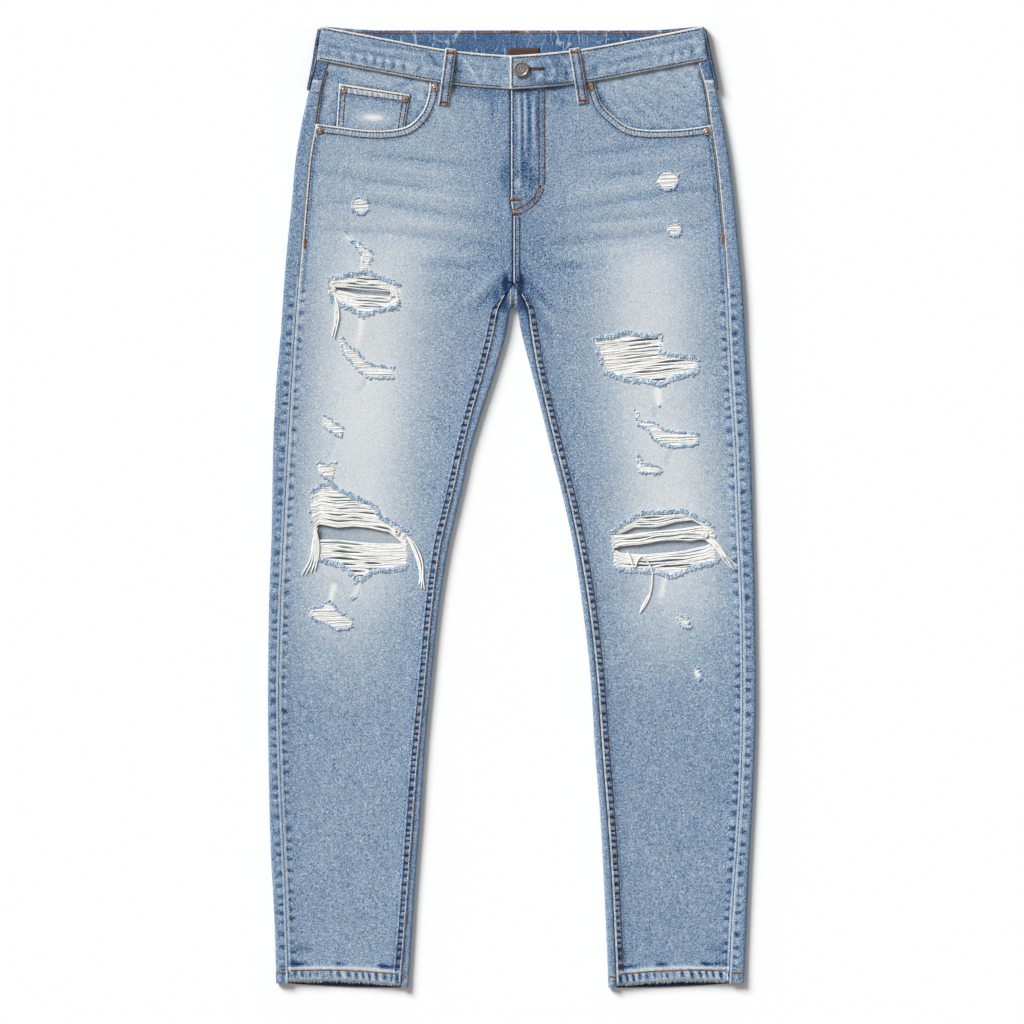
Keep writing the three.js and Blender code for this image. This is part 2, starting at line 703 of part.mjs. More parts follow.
function sideLoop(side) {
  const heights = [516, 503, 490, 475, 461, 450];
  const middleZ = (BAND_TOP_Z + SEAT_LIFT) / 2;
  const outside = (r, c) => {
    const y = heights[r];
    const angle = SIDE_LOOP_ANGLES[c];
    const centreX = sideLoopReach(side.name, y) - side.sign * SIDE_LOOP_RADIUS;
    const squeeze = y < 465 ? 0.92 : 1;
    return new THREE.Vector3(
      centreX + side.sign * SIDE_LOOP_RADIUS * Math.cos(angle),
      y,
      middleZ - squeeze * SIDE_LOOP_RADIUS * Math.sin(angle),
    );
  };
  return clothWall({
    rows: heights.length,
    columns: SIDE_LOOP_ANGLES.length,
    outside,
    thickness: () => LOOP_CLOTH,
    flip: side === LEFT,
  });
}

function backLoop() {
  const half = LOOP_WIDTH / 2;
  const [left, right] = [CENTRE_X - half, CENTRE_X + half];
  return block([[left, 449], [right, 449], [right, 513], [left, 513]], 0, LOOP_CLOTH);
}

// Round metal pieces, turned on the Z axis from [radius, height] profiles
const turned = (profile, segments) =>
  new THREE.LatheGeometry(
    profile.map(([r, z]) => new THREE.Vector2(r, z)),
    segments,
  ).rotateX(Math.PI / 2);

const BUTTON_PLACE = [10, 472];
const BUTTON_PROFILE = [[0, 0], [4.6, 0], [4.6, 1.4], [7.9, 1.5], [8.5, 2.2], [8, 3.1],
  [6.6, 3.3], [5.9, 2.7], [2.2, 2.9], [1.2, 2.5], [0, 2.4]];
const RIVET_PROFILE = [[0, 0], [4.3, 0], [4.2, 0.5], [3, 0.9], [1.7, 0.7], [1.2, 1.3], [0, 1.4]];
const RIVETS = [
  { name: 'right_inner', side: RIGHT, place: [-83.5, 452], on: 'panel' },
  { name: 'right_outer', side: RIGHT, place: [-207.3, 406.5], on: 'panel' },
  { name: 'left_inner', side: LEFT, place: [84.2, 453], on: 'panel' },
  { name: 'left_outer', side: LEFT, place: [210.2, 404.5], on: 'panel' },
  { name: 'coin_outer', side: RIGHT, place: [-181.8, 450.5], on: 'coin' },
  { name: 'coin_inner', side: RIGHT, place: [-115.5, 440.3], on: 'coin' },
];

// Threads left across a rip: a narrow frayed strip just inside the cut edge, with the
// threads fused into it
const FRAY_INSET = 0.35;
const FRAY_WIDTH = 1.8;
const FRAY_FLOOR = 3.35;
const FRAY_ROOF = 4.5;
const THREAD_RADIUS = 0.62;

// Leftmost and rightmost crossing of an outline at a height
function spanAt(outline, y) {
  const crossings = [];
  outline.forEach(([x, atY], i) => {
    const [nextX, nextY] = outline[(i + 1) % outline.length];
    if ((atY > y) !== (nextY > y)) crossings.push(mix(x, nextX, (y - atY) / (nextY - atY)));
  });
  return [Math.min(...crossings), Math.max(...crossings)];
}

// A thread of three sides along points that lie nearly flat
function thread(points, radius) {
  const vertices = [];
  const triangles = [];
  const up = new THREE.Vector3(0, 0, 1);
  points.forEach((point, i) => {
    const before = points[Math.max(i - 1, 0)];
    const after = points[Math.min(i + 1, points.length - 1)];
    const along = after.clone().sub(before).normalize();
    const across = up.clone().cross(along).normalize();
    const over = along.clone().cross(across);
    for (const angle of [90, 210, 330].map(THREE.MathUtils.degToRad)) {
      const away = across.clone().multiplyScalar(Math.cos(angle) * radius);
      vertices.push(point.clone().add(away).addScaledVector(over, Math.sin(angle) * radius));
    }
  });
  for (let i = 0; i < points.length - 1; i += 1) {
    for (let k = 0; k < 3; k += 1) {
      const [a, b] = [3 * i + k, 3 * i + ((k + 1) % 3)];
      triangles.push(a, b, b + 3, a, b + 3, a + 3);
    }
  }
  const last = 3 * (points.length - 1);
  triangles.push(0, 2, 1, last, last + 1, last + 2);
  return closedGeometry(vertices, triangles);
}

function ripThreads({ outline, pitch, open }) {
  const rim = toSolid(block(insetOutline(outline, FRAY_INSET), FRAY_FLOOR, FRAY_ROOF));
  const inner = insetOutline(outline, FRAY_INSET + FRAY_WIDTH);
  const hollow = block(inner, FRAY_FLOOR - 1, FRAY_ROOF + 1);
  let ladder = rim.subtract(toSolid(hollow));
  const heights = outline.map(([, y]) => y);
  const bottom = Math.min(...heights) + 2.4 * pitch;
  const reachIn = FRAY_INSET + FRAY_WIDTH / 2;
  let count = 0;
  for (let y = Math.max(...heights) - 1.6 * pitch; y > bottom; y -= pitch) {
    const height = y;
    if (open.some(([from, to]) => height < from && height > to)) continue;
    const [from, to] = spanAt(outline, y);
    const wander = 0.7 * Math.sin(2.4 * count);
    const stops = [0, 0.3, 0.65, 1].map((share) => {
      const sag = 4 * share * (1 - share);
      return new THREE.Vector3(
        mix(from + reachIn, to - reachIn, share),
        y + wander * sag,
        FRAY_ROOF - THREAD_RADIUS - 0.15 - 0.5 * sag,
      );
    });
    ladder = ladder.add(toSolid(thread(stops, THREAD_RADIUS)));
    count += 1;
  }
  const within = block(insetOutline(outline, FRAY_INSET), CUT_FLOOR, CUT_ROOF);
  return fromSolid(ladder.intersect(toSolid(within)));
}

// Tassels: loose threads that hang from the end of a rip and lie on the leg. Each strand is a
// route of [x, y] points that starts in the tassel's head.
const TASSELS = [
  {
    name: 'right_thigh_tassel', side: RIGHT, head: [-190.5, 226],
    strands: [
      [[-190.5, 226], [-191.5, 210], [-190.5, 196], [-193.5, 181]],
      [[-190.5, 226], [-188, 213], [-189, 203]],
    ],
  },
  {
    name: 'right_knee_outer_tassel', side: RIGHT, head: [-214.5, -24],
    strands: [
      [[-214.5, -24], [-216, -40], [-219, -56], [-228, -73]],
      [[-214.5, -24], [-214.5, -42], [-217, -58], [-222.5, -73]],
      [[-214.5, -24], [-212, -44], [-213, -60], [-216, -69]],
    ],
  },
  {
    name: 'right_knee_inner_tassel', side: RIGHT, head: [-113, -31],
    strands: [
      [[-113, -31], [-106, -36], [-100.5, -50], [-97, -70], [-94.5, -89]],
      [[-113, -31], [-108, -38], [-104, -52], [-101.5, -70], [-99, -86]],
      [[-113, -31], [-110.5, -39], [-108, -54], [-105, -70], [-103, -84]],
    ],
  },
  {
    name: 'left_knee_inner_tassel', side: LEFT, head: [128, -63],
    strands: [
      [[128, -63], [139, -60], [149, -70], [151, -86], [143, -103], [137, -116]],
      [[128, -63], [137, -64], [145, -73], [146, -88], [138, -103]],
    ],
  },
  {
    name: 'left_knee_outer_tassel', side: LEFT, head: [215, -36],
    strands: [
      [[215, -36], [220.5, -40], [229, -50], [238, -62]],
      [[215, -36], [220, -43], [228, -55], [233, -69]],
      [[215, -36], [218.5, -46], [223, -58]],
    ],
  },
];
const TASSEL_RADIUS = 0.75;
const TASSEL_HEAD_RADIUS = 1.9;
const TASSEL_CLEARANCE = 0.45;

function tassel({ side, head, strands }) {
  const onLeg = ([x, y], rise) =>
    new THREE.Vector3(x, y, upperHeight(side, x, y) + TASSEL_CLEARANCE + rise);
  const knot = onLeg(head, TASSEL_HEAD_RADIUS * 0.5);
  const ball = new THREE.IcosahedronGeometry(TASSEL_HEAD_RADIUS, 0).scale(1, 1, 0.5);
  let bundle = toSolid(ball.translate(knot.x, knot.y, knot.z));
  for (const strand of strands) {
    const route = strand.map((place) => onLeg(place, TASSEL_RADIUS));
    bundle = bundle.add(toSolid(thread(route, TASSEL_RADIUS)));
  }
  return fromSolid(bundle);
}

// The label sewn on the inner face of the back waistband, bare
const LABEL = { left: -4.5, right: 30, top: 495.5, bottom: 472 };
const LABEL_CLOTH = 0.6;

function waistLabel() {
  const { left, right, top, bottom } = LABEL;
  const floor = SEAT_LIFT + BAND_CLOTH + SEAM_GAP;
  const outline = [[left, bottom], [right, bottom], [right, top], [left, top]];
  return block(outline, floor, floor + LABEL_CLOTH);
}

const FRONT_DENIM = 0x8ba9c9;
const BACK_DENIM = 0x7f9fc2;
const BAND_DENIM = 0x86a5c6;
const COTTON = 0xece8df;
const COPPER = 0x9a7460;
const GUNMETAL = 0x77777a;

for (const side of SIDES) {
  addPiece(`front_panel_${side.name}`, frontPanel(side), material(FRONT_DENIM));
  addPiece(`back_panel_${side.name}`, backPanel(side), material(BACK_DENIM));
  addPiece(`back_yoke_${side.name}`, yoke(side), material(BACK_DENIM));
  addPiece(`back_pocket_${side.name}`, backPocket(side), material(BACK_DENIM));
  addPiece(`pocket_facing_${side.name}`, pocketFacing(side), material(BACK_DENIM));
  addPiece(`belt_loop_front_${side.name}`, frontLoop(side), material(BAND_DENIM));
  addPiece(`belt_loop_side_${side.name}`, sideLoop(side), material(BAND_DENIM));
}
addPiece('belt_loop_back', backLoop(), material(BAND_DENIM));
addPiece('waistband', waistband(), material(BAND_DENIM));
addPiece('coin_pocket', coinPocket(), material(FRONT_DENIM));
addPiece('waist_label', waistLabel(), material(0x4a3429, 0.7));

const button = addPiece('waist_button', turned(BUTTON_PROFILE, 20), material(GUNMETAL, 0.4, 1));
button.position.set(...BUTTON_PLACE, LAP_TOP_Z + SEAM_GAP);

for (const { name, side, place, on } of RIVETS) {
  const rivet = addPiece(`rivet_${name}`, turned(RIVET_PROFILE, 12), material(COPPER, 0.45, 1));
  const carrier = upperHeight(side, ...place) + (on === 'coin' ? COIN_RISE : 0);
  rivet.position.set(...place, carrier + SEAM_GAP);
}

for (const rip of RIPS) addPiece(`rip_threads_${rip.name}`, ripThreads(rip), material(COTTON));
for (const one of TASSELS) addPiece(one.name, tassel(one), material(COTTON));

export default jeans;
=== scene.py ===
# Ripped slim jeans laid flat with the front up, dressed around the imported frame.
# Shapes are worked out in millimetres and put into the meshes in metres.
# X runs to the wearer's left, Y up to the waist and Z away from the table.

import json
import math

import bmesh
import bpy
import numpy as np
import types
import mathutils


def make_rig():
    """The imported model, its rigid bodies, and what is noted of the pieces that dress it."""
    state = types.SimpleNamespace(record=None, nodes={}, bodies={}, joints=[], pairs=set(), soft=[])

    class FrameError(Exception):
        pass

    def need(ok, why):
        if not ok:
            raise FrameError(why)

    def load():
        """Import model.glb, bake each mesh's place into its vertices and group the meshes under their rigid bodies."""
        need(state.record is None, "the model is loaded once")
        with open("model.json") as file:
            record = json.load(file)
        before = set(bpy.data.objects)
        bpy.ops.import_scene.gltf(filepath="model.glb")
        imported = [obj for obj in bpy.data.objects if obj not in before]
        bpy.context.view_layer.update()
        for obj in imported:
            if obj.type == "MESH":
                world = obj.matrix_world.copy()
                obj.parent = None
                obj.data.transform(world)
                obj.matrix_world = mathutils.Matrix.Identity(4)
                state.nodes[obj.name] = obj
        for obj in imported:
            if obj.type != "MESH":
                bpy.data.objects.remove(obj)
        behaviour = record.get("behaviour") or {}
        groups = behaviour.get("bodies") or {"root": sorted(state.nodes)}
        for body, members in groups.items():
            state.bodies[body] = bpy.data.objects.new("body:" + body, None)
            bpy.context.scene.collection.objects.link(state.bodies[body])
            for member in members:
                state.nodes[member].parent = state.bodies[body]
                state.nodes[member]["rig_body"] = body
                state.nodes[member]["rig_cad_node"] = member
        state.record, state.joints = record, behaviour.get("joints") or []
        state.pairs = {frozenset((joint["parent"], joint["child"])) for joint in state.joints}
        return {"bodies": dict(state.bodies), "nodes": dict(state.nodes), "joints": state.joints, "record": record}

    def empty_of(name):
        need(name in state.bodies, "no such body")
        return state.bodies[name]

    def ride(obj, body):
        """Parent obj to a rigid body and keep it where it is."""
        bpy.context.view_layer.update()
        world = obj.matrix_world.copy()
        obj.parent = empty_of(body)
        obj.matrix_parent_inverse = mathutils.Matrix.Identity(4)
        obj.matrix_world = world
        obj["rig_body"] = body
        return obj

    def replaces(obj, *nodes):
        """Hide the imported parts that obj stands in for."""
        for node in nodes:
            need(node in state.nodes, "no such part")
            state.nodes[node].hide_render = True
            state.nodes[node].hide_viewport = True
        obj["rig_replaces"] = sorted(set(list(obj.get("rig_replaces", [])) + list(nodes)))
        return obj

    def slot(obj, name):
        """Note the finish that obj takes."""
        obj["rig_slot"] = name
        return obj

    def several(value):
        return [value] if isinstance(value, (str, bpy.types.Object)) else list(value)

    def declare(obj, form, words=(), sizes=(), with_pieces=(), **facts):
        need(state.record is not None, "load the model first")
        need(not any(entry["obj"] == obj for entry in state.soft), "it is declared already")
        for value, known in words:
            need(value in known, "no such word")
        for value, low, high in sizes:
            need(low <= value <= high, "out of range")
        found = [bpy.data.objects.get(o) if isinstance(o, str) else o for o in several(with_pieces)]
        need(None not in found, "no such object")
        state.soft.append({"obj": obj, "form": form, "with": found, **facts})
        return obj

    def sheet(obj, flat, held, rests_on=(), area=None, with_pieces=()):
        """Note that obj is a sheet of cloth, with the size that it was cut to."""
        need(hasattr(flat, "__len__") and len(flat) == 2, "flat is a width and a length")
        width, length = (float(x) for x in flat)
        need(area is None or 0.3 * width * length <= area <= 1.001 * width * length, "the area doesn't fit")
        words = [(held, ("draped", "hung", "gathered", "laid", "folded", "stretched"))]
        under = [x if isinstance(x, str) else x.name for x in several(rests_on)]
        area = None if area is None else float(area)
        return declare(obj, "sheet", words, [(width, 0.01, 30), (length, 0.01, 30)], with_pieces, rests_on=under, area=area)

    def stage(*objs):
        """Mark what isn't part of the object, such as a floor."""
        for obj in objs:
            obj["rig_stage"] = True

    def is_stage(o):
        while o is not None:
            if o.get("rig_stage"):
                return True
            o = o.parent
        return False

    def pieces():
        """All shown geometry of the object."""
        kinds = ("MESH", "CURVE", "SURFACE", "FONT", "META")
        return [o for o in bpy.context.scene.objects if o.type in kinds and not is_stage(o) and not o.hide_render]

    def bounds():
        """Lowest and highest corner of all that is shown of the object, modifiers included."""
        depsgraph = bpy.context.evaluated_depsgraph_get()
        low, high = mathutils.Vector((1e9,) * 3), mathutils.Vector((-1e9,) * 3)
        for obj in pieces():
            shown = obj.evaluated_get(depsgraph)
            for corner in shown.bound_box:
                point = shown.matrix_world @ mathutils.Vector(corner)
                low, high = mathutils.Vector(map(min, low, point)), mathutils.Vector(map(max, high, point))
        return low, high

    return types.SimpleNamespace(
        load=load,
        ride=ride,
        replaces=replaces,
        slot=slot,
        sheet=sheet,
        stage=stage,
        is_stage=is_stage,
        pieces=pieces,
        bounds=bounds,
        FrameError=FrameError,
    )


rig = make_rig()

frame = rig.load()
cad_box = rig.bounds()
random = np.random.default_rng(11)

MM = 0.001
RIGHT, LEFT = -1, 1
SIDES = (RIGHT, LEFT)
SIDE_NAMES = {RIGHT: "right", LEFT: "left"}

# Thickness of the cloth
DENIM = 1.2
POCKET_CLOTH = 1.0
BAND_CLOTH = 2.2
LOOP_CLOTH = 1.2
SEAM_GAP = 0.3

# Heights from top to bottom of the garment
WAIST_TOP = 519
BAND_HEIGHT = 36.5
YOKE_SIDE_Y = 432
YOKE_CENTRE_Y = 406
HIP_ROW_Y = 375
JUNCTION_Y = 240
CROTCH_Y = 218
HEM_TOP = -504.5
HEM_BOTTOM = -519
HEM_RISE = 4.5
FRONT_HEM_RISE = 2.6

# Centre seams and the fly
CENTRE_X = 1.6
FLY_X = -1.1
FLY_END_Y = 331
CENTRE_SEAM_Y = 312
FLY_WIDTH = 45
FLY_RISE = 0.6

# The seat lies on the back pockets and the legs lie on the table
SEAT_LIFT = 1.5
SEAT_LIFT_TOP_Y = 215
SEAT_LIFT_END_Y = 182
FOLD_SWELL = 18

# Waistband
BAND_TOP_Z = 8.9
LAP_TOP_Z = BAND_TOP_Z + SEAM_GAP + BAND_CLOTH
LAP_END_X = -2.4
UNDER_END_X = 36
LAP_FLAT_X = 42
LAP_RISE_X = 75
BAND_CORNER_X = 207.5
BAND_SPREAD = 1.022

# Bands of doubled cloth along the seams
FELL_WIDTH = 8.6
FELL_RISE = 0.5
MOUTH_BAND = 8.8
HEM_HEIGHT = HEM_TOP - HEM_BOTTOM
# Distances to an edge are kept in the meshes as how far they fall short of this
NEAR = 10


def mix(a, b, t):
    return a + (b - a) * t


def smoothstep(start, end, value):
    t = np.clip((value - start) / (end - start), 0, 1)
    return t * t * (3 - 2 * t)


def bell(distance, width):
    """1 at no distance, and almost nothing past twice the width."""
    return np.exp(-((distance / width) ** 2))


def smooth_table(columns, rows):
    """Reads a table by column name, on a smooth curve without overshoot through its rows."""
    table = np.array(sorted(rows), float)
    at = table[:, 0]
    step = np.diff(table, axis=0) / np.diff(at)[:, None]
    slope = np.empty_like(table)
    slope[0], slope[-1] = step[0], step[-1]
    total = step[:-1] + step[1:]
    product = step[:-1] * step[1:]
    slope[1:-1] = np.where(product > 0, 2 * product / np.where(total == 0, 1, total), 0)

    def read(name, position):
        k = columns.index(name)
        place = np.clip(position, at[0], at[-1])
        i = np.clip(np.searchsorted(at, place) - 1, 0, len(at) - 2)
        span = at[i + 1] - at[i]
        t = (place - at[i]) / span
        bend = t * t * (3 - 2 * t)
        start = t * (1 - t) ** 2 * span * slope[i, k]
        end = t * t * (1 - t) * span * slope[i + 1, k]
        return mix(table[i, k], table[i + 1, k], bend) + start - end

    return read


# Outer edge of the garment and the side seam
side_line = smooth_table(
    ["y", "right_edge", "right_seam", "left_seam", "left_edge"],
    [
        [482, -211.8, -198, 200.5, 214.5],
        [448, -219.5, -207, 210, 221],
        [413.5, -227, -212, 215, 228],
        [375, -233.5, -218.5, 221, 234.5],
        [331.5, -237.5, -222.5, 225.5, 240],
        [288.5, -242, -226, 229.5, 244],
        [242, -246, -230, 232.5, 248.5],
        [191, -249.5, -234, 234.5, 251.5],
        [126.5, -255, -238, 238, 255],
        [61.5, -258, -241.5, 242, 258],
        [-25, -259.5, -246, 245, 260.5],
        [-111, -262.5, -249.5, 248.5, 262.5],
        [-208.5, -263.5, -251.5, 249.5, 263.5],
        [-295, -262.5, -249.5, 247.5, 261],
        [-370.5, -260.5, -246, 243, 257],
        [-446, -256.5, -243, 237.5, 253.5],
        [-519, -254.5, -241, 234.5, 250.5],
    ],
)

# Inner edge of each leg and the inside-leg seam
in_line = smooth_table(
    ["y", "right_seam", "right_edge", "left_edge", "left_seam"],
    [
        [240, 0.2, 1.45, 1.75, 3],
        [218, -12, 1.45, 1.75, 15],
        [213, -14, -2, 5.5, 16.5],
        [191, -18.5, -5.5, 9.5, 20],
        [148, -29, -17.5, 20.5, 27.5],
        [105, -41.5, -31.5, 31.5, 37.5],
        [61.5, -52.5, -44.5, 42, 48],
        [18.5, -62, -54, 53, 59],
        [-46.5, -77, -69, 67, 73],
        [-111, -85.5, -79, 76.5, 83.5],
        [-187, -92.5, -87, 85, 92],
        [-262.5, -100, -94, 89.5, 97.5],
        [-338, -106, -99, 95.5, 103.5],
        [-413.5, -111.5, -105, 99.5, 108.5],
        [-478.5, -116.5, -109, 102.5, 111.5],
        [-519, -120, -112, 104, 113],
    ],
)

# Height of the upper face over the table, in the middle of a leg and at its folds
upper_face = smooth_table(
    ["y", "middle", "fold"],
    [
        [482, 7.2, 7.6],
        [375, 7.2, 7.6],
        [215, 6.4, 7.3],
        [150, 4.7, 6.2],
        [-470, 4.7, 6.2],
        [-519, 6.1, 6.4],
    ],
)

# Upper edge of the front waistband and of the back one, on either side of the middle
band_edge = smooth_table(
    ["x", "front", "back"],
    [
        [0, 487, 514.5],
        [35, 489.5, 514.5],
        [72, 493.7, 514.5],
        [140, 506, 514.5],
        [BAND_CORNER_X, WAIST_TOP, WAIST_TOP],
    ],
)


def band_bottom_front(x):
    return band_edge("front", np.abs(x) / BAND_SPREAD) - BAND_HEIGHT


def band_bottom_back(x):
    return band_edge("back", np.abs(x) / BAND_SPREAD) - BAND_HEIGHT


def outer_edge(side, y):
    return side_line(f"{SIDE_NAMES[side]}_edge", y)


def side_seam(side, y):
    return side_line(f"{SIDE_NAMES[side]}_seam", y)


def inner_edge(side, y):
    return in_line(f"{SIDE_NAMES[side]}_edge", y)


def inside_seam(side, y):
    return in_line(f"{SIDE_NAMES[side]}_seam", y)


def underside(y):
    return SEAT_LIFT * smoothstep(SEAT_LIFT_END_Y, SEAT_LIFT_TOP_Y, y)


def fold_radius(y):
    return (upper_face("fold", y) - underside(y)) / 2


def centre_front(y):
    return mix(CENTRE_X, FLY_X, smoothstep(CENTRE_SEAM_Y, FLY_END_Y, y))


def soft_wave(x, y):
    """Soft waves across the hips and the knees, none near a fold."""
    hips = smoothstep(385, 330, y) * smoothstep(200, 260, y)
    knees = smoothstep(110, 60, y) * smoothstep(-190, -120, y)
    tilt = y - 0.22 * np.abs(x)
    return 0.35 * hips * np.sin(tilt / 15) + 0.3 * knees * np.sin(tilt / 19)


def upper_height(side, x, y):
    """Height of the outside of the upper cloth."""
    radius = fold_radius(y)

    def swell(distance):
        return np.exp(-((np.maximum(distance - radius, 0) / FOLD_SWELL) ** 2))

    below = np.abs(x - inner_edge(side, y))
    above = np.hypot(x - CENTRE_X, y - CROTCH_Y)
    inner = swell(np.where(y < CROTCH_Y, below, above))
    near_fold = np.minimum(1, swell(np.abs(x - outer_edge(side, y))) + inner)
    fly = smoothstep(FLY_WIDTH, FLY_WIDTH - 14, x - centre_front(y)) if side == LEFT else 0
    fly_rise = FLY_RISE * fly * smoothstep(CENTRE_SEAM_Y, FLY_END_Y + 12, y)
    flat = mix(upper_face("middle", y), upper_face("fold", y), near_fold)
    return flat + fly_rise + soft_wave(x, y) * (1 - near_fold)


# Lines and outlines

def catmull_rom(points, steps=20):
    """A smooth curve through the points."""
    p = np.array(points, float)
    p = np.vstack([2 * p[0] - p[1], p, 2 * p[-1] - p[-2]])
    curve = []
    for i in range(1, len(p) - 2):
        a, b, c, d = p[i - 1 : i + 3]
        for t in np.arange(steps) / steps:
            curve.append(
                0.5 * (2 * b + (c - a) * t + (2 * a - 5 * b + 4 * c - d) * t**2
                       + (3 * b - a - 3 * c + d) * t**3)
            )
    return np.array(curve + [p[-2]])


def resample(points, step):
    """Points at even distances along a line."""
    p = np.array(points, float)
    run = np.concatenate([[0], np.cumsum(np.linalg.norm(np.diff(p, axis=0), axis=1))])
    count = max(2, int(round(run[-1] / step)) + 1)
    at = np.linspace(0, run[-1], count)
    return np.stack([np.interp(at, run, p[:, k]) for k in range(p.shape[1])], axis=1)


def ragged(outline, rough, step=1.1):
    """A closed outline with a torn edge."""
    p = resample(list(outline) + [outline[0]], step)[:-1]
    nudge = random.normal(0, rough, p.shape)
    return p + 0.5 * (nudge + np.roll(nudge, 1, axis=0))


def is_inside(x, y, outline):
    result = np.zeros(np.shape(x), bool)
    for (x0, y0), (x1, y1) in zip(outline, np.roll(outline, -1, axis=0)):
        crosses = (y0 > y) != (y1 > y)
        with np.errstate(divide="ignore", invalid="ignore"):
            at = x0 + (y - y0) / (y1 - y0) * (x1 - x0)
        result ^= crosses & (x < at)
    return result


def near_box(x, y, line, reach):
    """Which places lie within reach of the box round a line."""
    low, high = line.min(axis=0) - reach, line.max(axis=0) + reach
    return (x > low[0]) & (x < high[0]) & (y > low[1]) & (y < high[1])


def nearest_on(x, y, line):
    """Distance from places to a line, the nearest place on it and how far along it that is."""
    shape = np.shape(x)
    best = np.full(shape, 1e9)
    near_x, near_y, run = np.zeros(shape), np.zeros(shape), np.zeros(shape)
    start = 0.0
    for (x0, y0), (x1, y1) in zip(line[:-1], line[1:]):
        dx, dy = x1 - x0, y1 - y0
        length = math.hypot(dx, dy)
        if length < 1e-9:
            continue
        t = np.clip(((x - x0) * dx + (y - y0) * dy) / length**2, 0, 1)
        px, py = x0 + t * dx, y0 + t * dy
        distance = np.hypot(x - px, y - py)
        closer = distance < best
        best = np.where(closer, distance, best)
        near_x = np.where(closer, px, near_x)
        near_y = np.where(closer, py, near_y)
        run = np.where(closer, start + t * length, run)
        start += length
    return best, near_x, near_y, run


